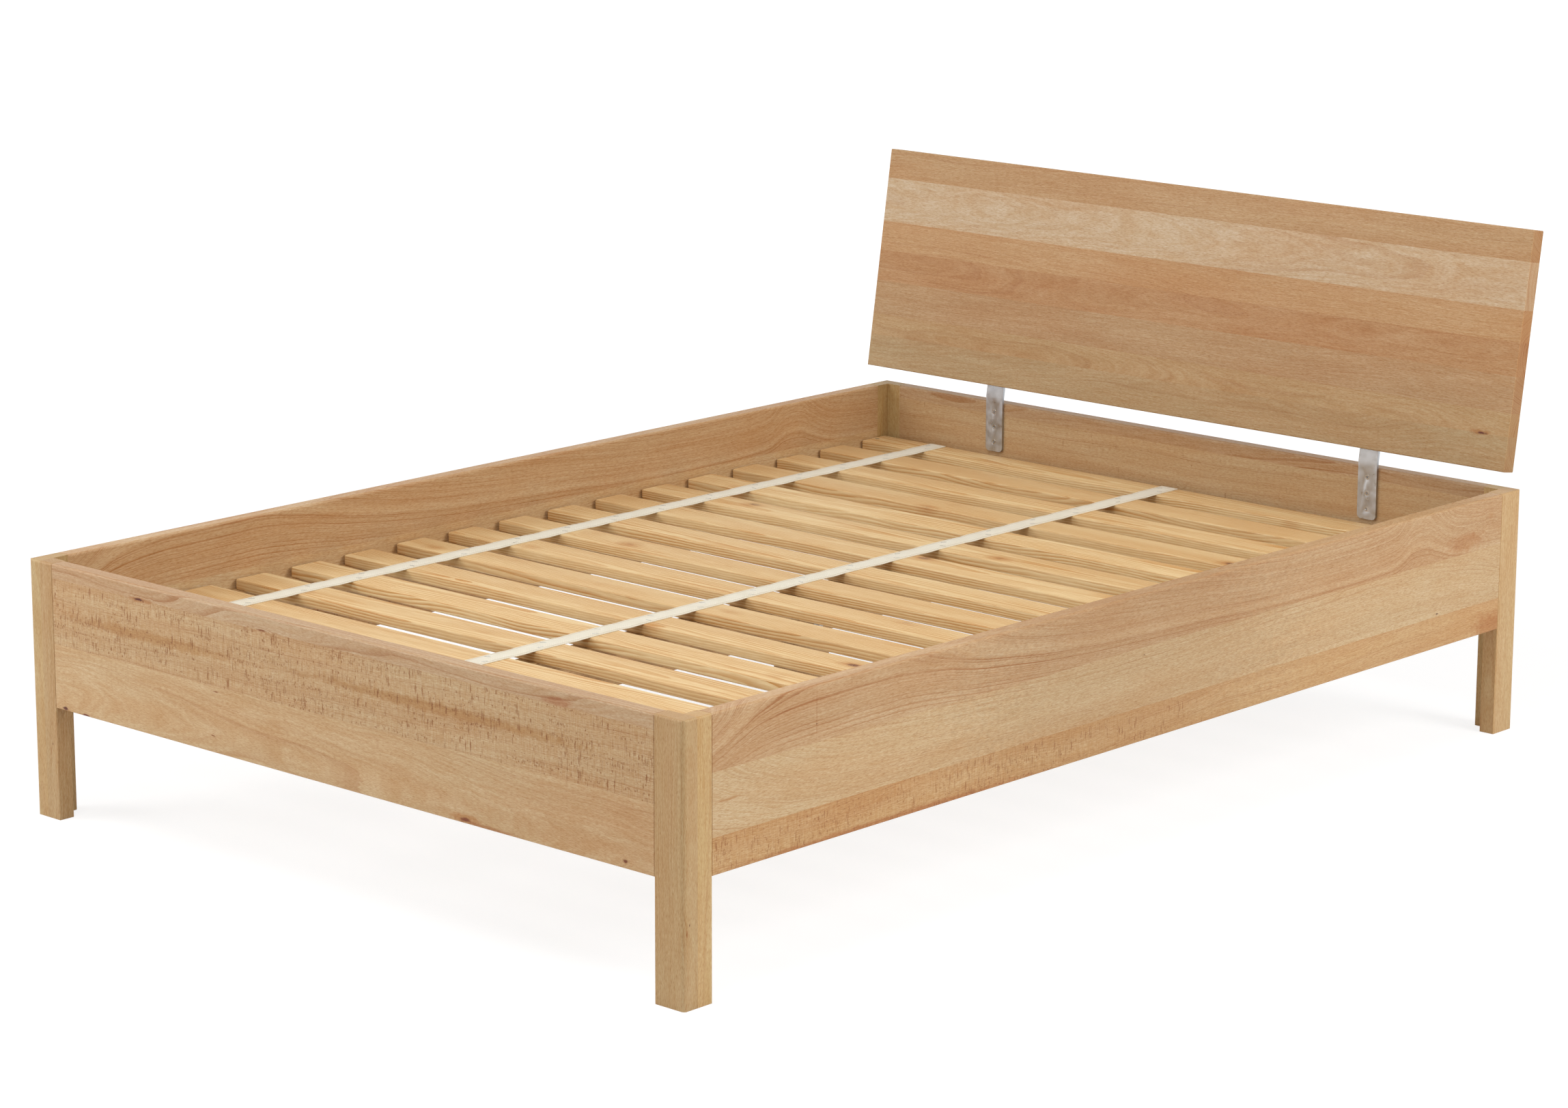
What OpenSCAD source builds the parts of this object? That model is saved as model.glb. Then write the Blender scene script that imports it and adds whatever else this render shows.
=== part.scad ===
/* [Frame] */
// Outer width across the legs
bed_w = 1460; // [1160:10:1860]
// Outer length across the legs
bed_l = 2090; // [2050:10:2290]
// Height of the legs and of the rails' top edges
frame_h = 428; // [410:2:480]
// Clear height under the rails
rail_clear = 189; // [150:1:195]
// Thickness of the rails, legs and headboard
board_t = 28; // [26:1:30]
// Reach of each leg wing from the outer corner
leg_wing = 58; // [56:1:70]
// Radius of the rounded top edges
top_round = 4; // [2:0.5:6]
// Radius of each leg's outer upright corner
leg_round = 8; // [4:1:12]

/* [Headboard] */
// Height of the headboard along its slope
head_h = 418; // [300:2:560]
// Backward lean in degrees
head_tilt = 9; // [6:1:10]
// Air gap between the rail's top and the headboard's lower front edge
head_gap = 38; // [34:1:60]
// How far above the rail's top its brackets bend back, which sets how deep in the bed it stands
bend_rise = 10; // [4:1:20]

/* [Slatted base] */
// Number of slats in the roll
slat_n = 17; // [13:1:19]
// Width of one slat
slat_w = 68; // [50:1:75]
// Thickness of one slat
slat_t = 18; // [16:1:20]
// Depth of the slats' upper faces below the rails' top
slat_drop = 100; // [90:1:110]
// Width of the webbing straps
strap_w = 38; // [25:1:45]
// Thickness of the webbing straps
strap_t = 1.5; // [1:0.1:2]

/* [Centre support] */
// Width of the centre beam
beam_w = 45; // [40:1:50]
// Depth of the centre beam
beam_h = 70; // [60:1:75]
// Width of the centre leg across the beam
post_w = 75; // [70:1:90]
// Depth of the centre leg along the beam
post_d = 60; // [50:1:80]
// Travel of the levelling foot, upwards from the floor
foot_travel = 14; // [8:1:14]

/* [Hidden] */
$fn = 48;
ends = [-1, 1];

// derived sizes of the frame
inner_w = bed_w - 2 * board_t;
inner_l = bed_l - 2 * board_t;
rail_h = frame_h - rail_clear;
side_l = bed_l - 2 * leg_wing;
cross_l = bed_w - 2 * leg_wing;
slat_z = frame_h - slat_drop;
cleat_z = slat_z - slat_t;
edge = 1;
low_round = 2;
fit = 0.05;
cleat_t = 28;
cleat_h = 42;

// fasteners, each as [diameter, length]
cleat_screw = [5, 45];
slat_screw = [4, 40];
bar_screw = [5, 24];
hanger_screw = [4.5, 18];

// corner joint, in a leg's own frame: outer corner at the origin, wings along +X and +Y
dowel_r = 5;
dowel_l = 58;
dowel_z = [frame_h - 135, frame_h - 35];
bracket_t = 3;
bracket_arm = 100;
bracket_z = rail_clear + 7;
bracket_h = min(65, cleat_z - cleat_h - bracket_z - 4);
bracket_round = 8;
bolt_r = 4;
bolt_l = 17;
bolt_head = [7, 4.4];
key_r = 2.9;
key_floor = 1.8;
bolt_at = [leg_wing - 15, leg_wing + 50];
bolt_z = [bracket_z + 15, bracket_z + bracket_h - 15];
insert_r = 6;
insert_l = 16;

// cleats and slats
cleat_x = inner_w / 2 - cleat_t;
cleat_l = inner_l - 4;
slat_l = inner_w - 6;
slat_end = 12;
slat_ease = 3;
slat_corner = 6;
slat_pitch = (inner_l - 2 * slat_end - slat_w) / (slat_n - 1);
strap_x = [-slat_l * 0.4, 0, slat_l * 0.4];
strap_l = inner_l - 2 * slat_end - 8;
cleat_screws_n = 8;
cleat_screw_pitch = (inner_l - 260) / (cleat_screws_n - 1);

// centre support
hanger_t = 2.5;
hanger_d = 40;
hanger_h = 58;
hanger_flange = 22;
cheek_h = 52;
cheek_screw_z = 28;
flange_screw_z = [12, 42];
beam_z = cleat_z - beam_h;
post_lap = 45;
post_z = 34;
post_bolt_z = beam_z + post_lap / 2;
post_bolt_head = [10, 4.4];
post_round = 4;
washer_t = 1.6;
nut_h = 6.5;
spindle_r = 5;
spindle_top = 74;
sleeve_r = 7.5;
sleeve_l = 18;
pad_r = 22;
pad_h = 12;
pad_rim = 4;
pad_neck_r = 11;
pad_socket = 8;
collar_r = 9.8;
collar_h = 6;

// headboard brackets: flat bar bent once, where the rail's inner face meets the headboard's back
bar_t = 5;
bar_w = 40;
bar_round = 8;
bar_x = bed_w / 2 - 300;
bar_low = slat_z + 6;
bar_up = 200;
bar_front = inner_l / 2 - bar_t;
slope = [sin(head_tilt), cos(head_tilt)];
behind = [cos(head_tilt), -sin(head_tilt)];
bend_rear = [inner_l / 2, frame_h + bend_rise];
bend_front = bend_rear + bar_t * [-1, tan(head_tilt / 2)];
head_front = up_slope(bend_rear - (board_t + bar_t) * behind, frame_h + head_gap);
bar_rail_screws = [bar_low + 18, bar_low + 47, frame_h - 18];
bar_board_screws = [22, 92, 162];

// The point at height z on the line that leans back through p
function up_slope(p, z) = p + (z - p.y) / slope.y * slope;

slats = [for (i = [1 : slat_n]) str("slat_", i < 10 ? "0" : "", i)];
corners = ["foot_left", "foot_right", "head_right", "head_left"];
legs = [for (c = corners) str("leg_", c)];
brackets = [for (c = corners) str("corner_bracket_", c)];

// ---- profiles ----

// Rectangle from the origin with its corners rounded: [low left, low right, top right, top left]
module rounded_rect(w, h, r) {
    places = [[0, 0], [w, 0], [w, h], [0, h]];
    difference() {
        square([w, h]);
        for (i = [0:3])
            if (r[i] > 0)
                translate(places[i]) rotate(90 * i) fillet_cut(r[i]);
    }
}

// What rounding one corner takes away, for a corner at the origin that opens along +X and +Y
module fillet_cut(r) {
    difference() {
        translate([-1, -1]) square(r + 1);
        translate([r, r]) circle(r);
    }
}

// Rectangle centred on X with its upper end corners cut off, and its lower ones too if asked
module cut_rect(l, h, top, low = 0) {
    polygon([
        [-l / 2 + low, 0], [l / 2 - low, 0], [l / 2, low],
        [l / 2, h - top], [l / 2 - top, h], [-l / 2 + top, h],
        [-l / 2, h - top], [-l / 2, low]
    ]);
}

// Board along X, centred: outer face at y = 0, inner face at y = t, lower edge at z = 0
module board(l, t, h, top, low) {
    intersection() {
        translate([-l / 2, 0, 0]) rotate([90, 0, 90])
            linear_extrude(l) rounded_rect(t, h, [low, low, top, top]);
        translate([0, t, 0]) mirror([0, 1, 0])
            linear_extrude(h) cut_rect(l, t, edge);
        translate([0, t, 0]) rotate([90, 0, 0])
            linear_extrude(t) cut_rect(l, h, edge);
    }
}

// ---- fasteners ----

// Countersunk wood screw with its head flush at z = 0, pointing down
module wood_screw(size, clear = 0) {
    r = size[0] / 2;
    translate([0, 0, -r]) cylinder(h = r, r1 = r + clear, r2 = 2 * r + clear);
    translate([0, 0, -size[1]]) cylinder(h = size[1] - r, r = r + clear);
}

// Pan-head screw with its head standing on z = 0, pointing down
module pan_screw(size, clear = 0) {
    d = size[0];
    translate([0, 0, -size[1]]) cylinder(h = size[1], r = d / 2 + clear);
    if (clear == 0) dome([d, d * 0.55]);
}

// Low round head on z = 0, given as its radius and height
module dome(head) {
    r = head[0];
    h = head[1];
    ball = (r * r + h * h) / (2 * h);
    rotate_extrude() intersection() {
        translate([0, h - ball]) circle(ball);
        square([r, h]);
    }
}

// ---- corner joint ----

// Children in the frame of corner i: 0 foot left, 1 foot right, 2 head right, 3 head left
module at_corner(i) {
    side = [[-1, -1], [1, -1], [1, 1], [-1, 1]][i];
    translate([side.x * bed_w / 2, side.y * bed_l / 2, 0]) rotate([0, 0, 90 * i]) children();
}

// Children on the wing along X and, mirrored, on the wing along Y
module on_both_wings() {
    children();
    mirror([1, -1, 0]) children();
}

// Children at each bolt of one wing, on the wood's inner face, +Z pointing into the bed
module at_wing_bolts() {
    for (x = bolt_at, z = bolt_z)
        translate([x, board_t, z]) rotate([-90, 0, 0]) children();
}

// Dowels of one wing; gap lengthens and widens them into their bores
module wing_dowels(gap = 0) {
    for (z = dowel_z)
        translate([leg_wing - dowel_l / 2 - 20 * gap, board_t / 2, z]) rotate([0, 90, 0])
            cylinder(h = dowel_l + 40 * gap, r = dowel_r + gap);
}

// Everything that is bored into the leg and the two rails of one corner
module corner_bores() {
    on_both_wings() {
        wing_dowels(fit);
        at_wing_bolts() translate([0, 0, -insert_l]) cylinder(h = insert_l + 1, r = insert_r + fit);
    }
}

module leg_plan() {
    difference() {
        rounded_rect(leg_wing, leg_wing, [leg_round, 0, 0, 0]);
        translate([board_t, board_t]) square(leg_wing);
        translate([leg_wing, 0]) rotate(45) square(edge * sqrt(2), center = true);
        translate([0, leg_wing]) rotate(45) square(edge * sqrt(2), center = true);
    }
}

// Side view of a leg: rounded on top outside, eased where it meets the rail and at the floor
module leg_side() {
    rounded_rect(leg_wing, frame_h, [edge, edge, edge, top_round]);
}

module leg(i) {
    color("burlywood") at_corner(i) difference() {
        intersection() {
            linear_extrude(frame_h) leg_plan();
            translate([0, leg_wing, 0]) rotate([90, 0, 0]) linear_extrude(leg_wing) leg_side();
            mirror([1, -1, 0])
                translate([0, leg_wing, 0]) rotate([90, 0, 0]) linear_extrude(leg_wing) leg_side();
        }
        corner_bores();
    }
}

// Angle of flat steel inside one corner, across both butt joints
module corner_bracket(i) {
    color("silver") at_corner(i) difference() {
        on_both_wings()
            translate([board_t, board_t + bracket_t, bracket_z]) rotate([90, 0, 0])
                linear_extrude(bracket_t)
                    rounded_rect(bracket_arm, bracket_h, bracket_round * [0, 1, 1, 0]);
        on_both_wings() at_wing_bolts()
            translate([0, 0, -1]) cylinder(h = bracket_t + 2, r = bolt_r + 0.5);
    }
}

module corner_bolts() {
    color("silver") for (i = [0:3]) at_corner(i) on_both_wings() at_wing_bolts()
        translate([0, 0, bracket_t]) difference() {
            union() {
                dome(bolt_head);
                translate([0, 0, -bolt_l]) cylinder(h = bolt_l, r = bolt_r);
            }
            translate([0, 0, key_floor]) cylinder(h = bolt_head[1], r = key_r, $fn = 6);
        }
}

module corner_inserts() {
    color("goldenrod") for (i = [0:3]) at_corner(i) on_both_wings() at_wing_bolts()
        translate([0, 0, -insert_l]) difference() {
            cylinder(h = insert_l, r = insert_r);
            translate([0, 0, -1]) cylinder(h = insert_l + 2, r = bolt_r + fit);
        }
}

module corner_dowels() {
    color("tan") for (i = [0:3]) at_corner(i) on_both_wings() wing_dowels();
}

// ---- rails ----

// Children in a side's frame, outer face at y = 0 facing -Y: side -1 left, 1 right
module at_side(side) {
    translate([side * bed_w / 2, 0, 0]) rotate([0, 0, side * 90]) children();
}

// Children in an end's frame, outer face at y = 0 facing -Y: end -1 foot, 1 head
module at_end(end) {
    translate([0, end * bed_l / 2, 0]) rotate([0, 0, end < 0 ? 0 : 180]) children();
}

module rail(l) {
    translate([0, 0, rail_clear]) board(l, board_t, rail_h, top_round, low_round);
}

module side_rail(side) {
    color("burlywood") difference() {
        at_side(side) rail(side_l);
        for (i = side < 0 ? [0, 3] : [1, 2]) at_corner(i) corner_bores();
        at_cleat_screws(side) wood_screw(cleat_screw, fit);
    }
}

module foot_panel() {
    color("burlywood") difference() {
        at_end(-1) rail(cross_l);
        for (i = [0, 1]) at_corner(i) corner_bores();
        at_hanger_screws(-1) pan_screw(hanger_screw, fit);
    }
}

module head_rail() {
    color("burlywood") difference() {
        at_end(1) rail(cross_l);
        for (i = [2, 3]) at_corner(i) corner_bores();
        at_hanger_screws(1) pan_screw(hanger_screw, fit);
        at_bracket_rail_screws() wood_screw(bar_screw, fit);
    }
}

// ---- headboard ----

// Children in the headboard's frame: x along it, front face at y = 0, lower edge at z = 0
module on_headboard() {
    translate([0, head_front.x, head_front.y]) rotate([-head_tilt, 0, 0]) children();
}

// Children at the screws into the rail, on the bar's front face, +Z towards the foot end
module at_bracket_rail_screws() {
    for (s = ends, z = bar_rail_screws)
        translate([s * bar_x, bar_front, z]) rotate([90, 0, 0]) children();
}

// Children at the screws into the board, on the bar's rear face, +Z backwards
module at_bracket_board_screws() {
    on_headboard() for (s = ends, z = bar_board_screws)
        translate([s * bar_x, board_t + bar_t, z]) rotate([-90, 0, 0]) children();
}

module headboard() {
    color("burlywood") difference() {
        on_headboard() board(bed_w, board_t, head_h, low_round, low_round);
        at_bracket_board_screws() wood_screw(bar_screw, fit);
    }
}

// Flat bar seen from its edge: up the rail's inner face, then back along the headboard
module bar_side() {
    head_back = head_front + board_t * behind;
    bar_top = head_back + bar_up * slope;
    polygon([
        [bar_front, bar_low], [inner_l / 2, bar_low], bend_rear,
        bar_top + bar_t * behind, bar_top, bend_front
    ]);
}

// Takes the corners off an end of the bar that stands on z = 0
module bar_end_cut() {
    rotate([90, 0, 0]) linear_extrude(4 * bar_t, center = true)
        for (turn = [0, 1])
            mirror([turn, 0]) translate([-bar_w / 2, 0]) fillet_cut(bar_round);
}

// Flat bar screwed to the rail's inner face, bent back and screwed behind the headboard
module headboard_bracket(side) {
    color("silver") difference() {
        translate([side * bar_x - bar_w / 2, 0, 0]) rotate([90, 0, 90])
            linear_extrude(bar_w) bar_side();
        translate([side * bar_x, bar_front, bar_low]) bar_end_cut();
        on_headboard() translate([side * bar_x, board_t, bar_up]) rotate([0, 180, 0]) bar_end_cut();
        at_bracket_rail_screws() wood_screw(bar_screw, fit);
        at_bracket_board_screws() wood_screw(bar_screw, fit);
    }
}

module headboard_screws() {
    color("gray") {
        at_bracket_rail_screws() wood_screw(bar_screw);
        at_bracket_board_screws() wood_screw(bar_screw);
    }
}

// ---- cleats ----

// Children at the screws of one cleat, on its inner face, +Z into the bed
module at_cleat_screws(side) {
    for (i = [0 : cleat_screws_n - 1])
        translate([side * cleat_x, (i - (cleat_screws_n - 1) / 2) * cleat_screw_pitch, cleat_z - cleat_h / 2])
            rotate([0, -side * 90, 0]) children();
}

// Children at the screws that hold the first and last slat down, on their upper faces
module at_slat_screws() {
    for (s = ends, e = ends)
        translate([s * (cleat_x + cleat_t / 2), e * slat_y(slat_n - 1), slat_z]) children();
}

module cleat(side) {
    color("burlywood") difference() {
        translate([side * (cleat_x + cleat_t / 2), 0, cleat_z - cleat_h]) rotate([90, 0, 0])
            linear_extrude(cleat_l, center = true)
                translate([-cleat_t / 2, 0])
                    rounded_rect(cleat_t, cleat_h, side > 0 ? [3, 0, 0, 1] : [0, 3, 1, 0]);
        at_cleat_screws(side) wood_screw(cleat_screw, fit);
        at_slat_screws() wood_screw(slat_screw, fit);
    }
}

module cleat_screws() {
    color("gray") for (s = ends) at_cleat_screws(s) wood_screw(cleat_screw);
}

// ---- slatted base ----

// Middle of slat i, counted from the foot end
function slat_y(i) = (i - (slat_n - 1) / 2) * slat_pitch;

module slat(i) {
    color("wheat") difference() {
        intersection() {
            translate([-slat_l / 2, slat_y(i) - slat_w / 2, slat_z - slat_t]) rotate([90, 0, 90])
                linear_extrude(slat_l) rounded_rect(slat_w, slat_t, slat_ease * [1, 1, 1, 1]);
            translate([-slat_l / 2, slat_y(i) - slat_w / 2, slat_z - slat_t])
                linear_extrude(slat_t) rounded_rect(slat_l, slat_w, slat_corner * [1, 1, 1, 1]);
        }
        if (i == 0 || i == slat_n - 1) at_slat_screws() wood_screw(slat_screw, fit);
    }
}

module slat_screws() {
    color("gray") at_slat_screws() wood_screw(slat_screw);
}

module strap(i) {
    color("ivory") translate([strap_x[i], 0, slat_z + strap_t / 2])
        cube([strap_w, strap_l, strap_t], center = true);
}

// ---- centre support ----

// Children at the four flange screws of one hanger, +Z into the bed
module at_hanger_screws(end) {
    x = beam_w / 2 + hanger_t + hanger_flange / 2;
    at_end(end) for (s = ends, z = flange_screw_z)
        translate([s * x, board_t + hanger_t, beam_z + z]) rotate([-90, 0, 0]) children();
}

// Children at the screw through each cheek of one hanger, +Z away from the beam
module at_hanger_cheek_screws(end) {
    at_end(end) for (s = ends)
        translate([s * (beam_w / 2 + fit + hanger_t), board_t + hanger_d / 2, beam_z + cheek_screw_z])
            rotate([0, s * 90, 0]) children();
}

// Bent sheet-steel shoe that carries one end of the beam
module beam_hanger(end) {
    pocket = beam_w + 2 * fit;
    shoe = pocket + 2 * hanger_t;
    color("silver") difference() {
        at_end(end) translate([0, board_t, beam_z - hanger_t]) {
            translate([-shoe / 2 - hanger_flange, hanger_t, 0]) rotate([90, 0, 0])
                linear_extrude(hanger_t)
                    rounded_rect(shoe + 2 * hanger_flange, hanger_h, [5, 5, 5, 5]);
            for (s = ends)
                translate([s * (pocket + hanger_t) / 2 - hanger_t / 2, 0, 0])
                    rotate([90, 0, 90]) linear_extrude(hanger_t)
                        rounded_rect(hanger_d, cheek_h, [0, 0, 8, 0]);
            translate([-shoe / 2, 0, 0]) cube([shoe, hanger_d, hanger_t]);
        }
        at_hanger_screws(end) pan_screw(hanger_screw, 0.3);
        at_hanger_cheek_screws(end) pan_screw(hanger_screw, 0.3);
    }
}

module hanger_screws() {
    color("gray") for (e = ends) {
        at_hanger_screws(e) pan_screw(hanger_screw);
        at_hanger_cheek_screws(e) pan_screw(hanger_screw);
    }
}

module centre_beam() {
    l = inner_l - 2 * hanger_t - 1;
    color("burlywood") difference() {
        translate([-beam_w / 2, l / 2, beam_z]) rotate([90, 0, 0])
            linear_extrude(l) rounded_rect(beam_w, beam_h, [0, 0, 3, 3]);
        for (e = ends) at_hanger_cheek_screws(e) pan_screw(hanger_screw, fit);
        post_bolt_bore();
    }
}

module post_bolt_bore() {
    translate([0, 0, post_bolt_z]) rotate([0, 90, 0])
        cylinder(h = post_w + 2, r = bolt_r + 0.2, center = true);
}

// Post forked at its top, astride the beam
module centre_leg() {
    color("burlywood") difference() {
        translate([-post_w / 2, -post_d / 2, post_z])
            linear_extrude(beam_z + post_lap - post_z)
                rounded_rect(post_w, post_d, post_round * [1, 1, 1, 1]);
        translate([-beam_w / 2, -post_d, beam_z]) cube([beam_w, 2 * post_d, post_lap + 1]);
        post_bolt_bore();
        translate([0, 0, post_z - 1]) cylinder(h = sleeve_l + 1, r = sleeve_r + fit);
        translate([0, 0, post_z]) cylinder(h = spindle_top + foot_travel + 6 - post_z, r = spindle_r + 0.5);
    }
}

// Children on the post's cheek: side -1 left, 1 right, +Z outwards
module at_post_cheek(side) {
    translate([side * post_w / 2, 0, post_bolt_z]) rotate([0, side * 90, 0]) children();
}

module centre_leg_bolt() {
    reach = washer_t + nut_h + 4;
    color("silver") at_post_cheek(-1) {
        dome(post_bolt_head);
        translate([0, 0, -post_w - reach]) cylinder(h = post_w + reach, r = bolt_r);
    }
}

module centre_leg_washer() {
    color("silver") at_post_cheek(1) difference() {
        cylinder(h = washer_t, r = 12);
        translate([0, 0, -1]) cylinder(h = washer_t + 2, r = bolt_r + 0.25);
    }
}

module centre_leg_nut() {
    color("silver") at_post_cheek(1) translate([0, 0, washer_t]) difference() {
        cylinder(h = nut_h, r = 7.5, $fn = 6);
        translate([0, 0, -1]) cylinder(h = nut_h + 2, r = bolt_r + fit);
    }
}

module levelling_insert() {
    color("goldenrod") translate([0, 0, post_z]) difference() {
        cylinder(h = sleeve_l, r = sleeve_r);
        translate([0, 0, -1]) cylinder(h = sleeve_l + 2, r = spindle_r + fit);
    }
}

module levelling_spindle() {
    color("silver") {
        translate([0, 0, pad_h - pad_socket]) cylinder(h = spindle_top - pad_h + pad_socket, r = spindle_r);
        translate([0, 0, pad_h]) cylinder(h = collar_h, r = collar_r, $fn = 6);
    }
}

module levelling_pad() {
    color("dimgray") difference() {
        rotate_extrude() polygon([
            [0, 0], [pad_r - edge, 0], [pad_r, edge], [pad_r, pad_rim], [pad_neck_r, pad_h], [0, pad_h]
        ]);
        translate([0, 0, pad_h - pad_socket]) cylinder(h = pad_socket + 1, r = spindle_r + fit);
    }
}

for (i = [0:3]) leg(i);
side_rail(-1);  // side_rail_left
side_rail(1);  // side_rail_right
foot_panel();
head_rail();
headboard();
cleat(-1);  // cleat_left
cleat(1);  // cleat_right
centre_beam();
centre_leg();
for (i = [0 : slat_n - 1]) slat(i);
strap(0);  // strap_left
strap(1);  // strap_centre
strap(2);  // strap_right
for (i = [0:3]) corner_bracket(i);
corner_bolts();
corner_inserts();
corner_dowels();
cleat_screws();
slat_screws();
beam_hanger(-1);  // beam_hanger_foot
beam_hanger(1);  // beam_hanger_head
hanger_screws();
headboard_bracket(-1);  // headboard_bracket_left
headboard_bracket(1);  // headboard_bracket_right
headboard_screws();
centre_leg_bolt();
centre_leg_washer();
centre_leg_nut();
levelling_insert();
levelling_spindle();
levelling_pad();
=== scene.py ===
# %% [markdown]
# # A beech bed frame, dressed for the camera
#
# The frame's construction comes ready made: every board, bracket and bolt is a solid of the
# right size in the right place. This lesson gives it its looks. It mixes an oiled-beech finish
# that knows how a trunk is cut into boards, rebuilds the roll of slats, its woven straps and
# the screws with Geometry Nodes, and sets up a plain studio. All lengths are in metres in the
# scene and in millimetres inside the wood pattern, where a carpenter would expect them.

# %% Load the frame
import math

import bmesh
import bpy
from mathutils import Matrix, Vector


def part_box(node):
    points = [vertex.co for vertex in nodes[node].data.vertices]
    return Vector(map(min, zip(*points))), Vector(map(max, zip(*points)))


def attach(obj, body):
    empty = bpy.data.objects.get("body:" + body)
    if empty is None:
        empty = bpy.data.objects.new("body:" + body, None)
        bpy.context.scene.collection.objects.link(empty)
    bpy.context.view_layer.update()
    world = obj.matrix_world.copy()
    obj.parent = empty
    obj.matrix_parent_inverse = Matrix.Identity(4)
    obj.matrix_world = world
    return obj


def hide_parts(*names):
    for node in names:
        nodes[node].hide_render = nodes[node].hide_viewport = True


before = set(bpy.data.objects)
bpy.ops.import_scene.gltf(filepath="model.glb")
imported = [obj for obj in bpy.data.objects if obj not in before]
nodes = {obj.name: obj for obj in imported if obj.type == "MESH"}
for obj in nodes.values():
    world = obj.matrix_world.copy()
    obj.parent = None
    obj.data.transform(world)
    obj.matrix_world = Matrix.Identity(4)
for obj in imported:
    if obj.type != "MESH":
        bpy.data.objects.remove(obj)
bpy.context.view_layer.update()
MM = 0.001

# %% [markdown]
# ## A few small helpers
#
# A colour is easiest to read as the hex value that a paint chart gives, but the renderer adds
# light in linear numbers, so one function converts. A material is a tree of nodes, and one
# function adds a node, fills in its settings and joins its inputs: a plain value is typed into
# the socket, another node's output is linked to it, and a whole node stands for its first output.

# %% Colour and node helpers
def colour(hex_value, alpha=1.0):
    """An sRGB hex colour as the linear numbers that the renderer works in."""
    parts = [int(hex_value[i:i + 2], 16) / 255 for i in (1, 3, 5)]
    linear = [c / 12.92 if c <= 0.04045 else ((c + 0.055) / 1.055) ** 2.4 for c in parts]
    return (*linear, alpha)


def add(tree, kind, inputs=None, **settings):
    """Adds one node to a tree, with its settings, its values and its links."""
    node = tree.nodes.new(kind)
    for name, value in settings.items():
        setattr(node, name, value)
    for name, value in (inputs or {}).items():
        if isinstance(value, bpy.types.Node):
            value = value.outputs[0]
        if isinstance(value, bpy.types.NodeSocket):
            tree.links.new(value, node.inputs[name])
        else:
            node.inputs[name].default_value = value
    return node


def empty_material(name):
    """A new material and its tree, with nothing in it yet."""
    material = bpy.data.materials.new(name)
    material.use_nodes = True
    material.node_tree.nodes.clear()
    return material, material.node_tree


def lumps(tree, at, size, detail=1.0):
    """A noise whose lumps have these sizes along the three axes of the place that it reads."""
    scaled = add(tree, "ShaderNodeVectorMath", {0: at, 1: [1 / s for s in size]}, operation="MULTIPLY")
    return add(tree, "ShaderNodeTexNoise", {"Vector": scaled, "Scale": 1.0, "Detail": detail})


def stain_and_shade(tree, base, coats):
    """Lays coats of stain, or of painted shade, on a colour, one after another; each is a hex colour and its
    strength.
    """
    for hex_value, strength in coats:
        base = add(tree, "ShaderNodeMix", {"Factor": strength, 6: base, 7: colour(hex_value)},
                   data_type="RGBA", blend_type="MULTIPLY").outputs[2]
    return base


print("oiled beech, as the renderer sees it:", [round(c, 3) for c in colour("#c7a679")])

# %% [markdown]
# ## How beech gets its figure
#
# Growth rings are cylinders round the heart of the trunk. A board cut through them at a
# tangent shows wide arches, and one cut towards the heart shows straight lines. Beech also has
# rays: thin ribbons that run from the heart to the bark. Cut along, they show as short brown
# flecks that stand across the grain, and cut across, as tiny dashes.
#
# A flat picture of grain would look wrong round every corner, so the pattern is worked out in
# three dimensions. The group below takes a place in the board, in millimetres along the grain,
# across the face and into the thickness, and the place of the heart. Everything else follows.

# %% The beech pattern, as a node group
RING_PITCH = 3.8      # real rings are 2 to 3 mm apart; they are drawn wider, so that they show
TAPER = 0.016         # how fast the trunk narrows, which opens the rings into arches
# cells of the rays: along the grain, towards the bark, and round the trunk at 70 mm from the heart.
# Real rays are about 1 mm thick; these are drawn up to 2 mm thick, so that they show
LONG_RAYS = (3.4, 21.0, 2.6)
SHORT_RAYS = (3.3, 6.0, 2.2)
RAYS_FROM_HEART = 70
# how far apart two boards, and two noises on one board, read the same pattern, in millimetres
BOARD_JUMP = (917.0, 371.0, 653.0)
NOISE_JUMP = (371.0, 517.0, 229.0)


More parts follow.
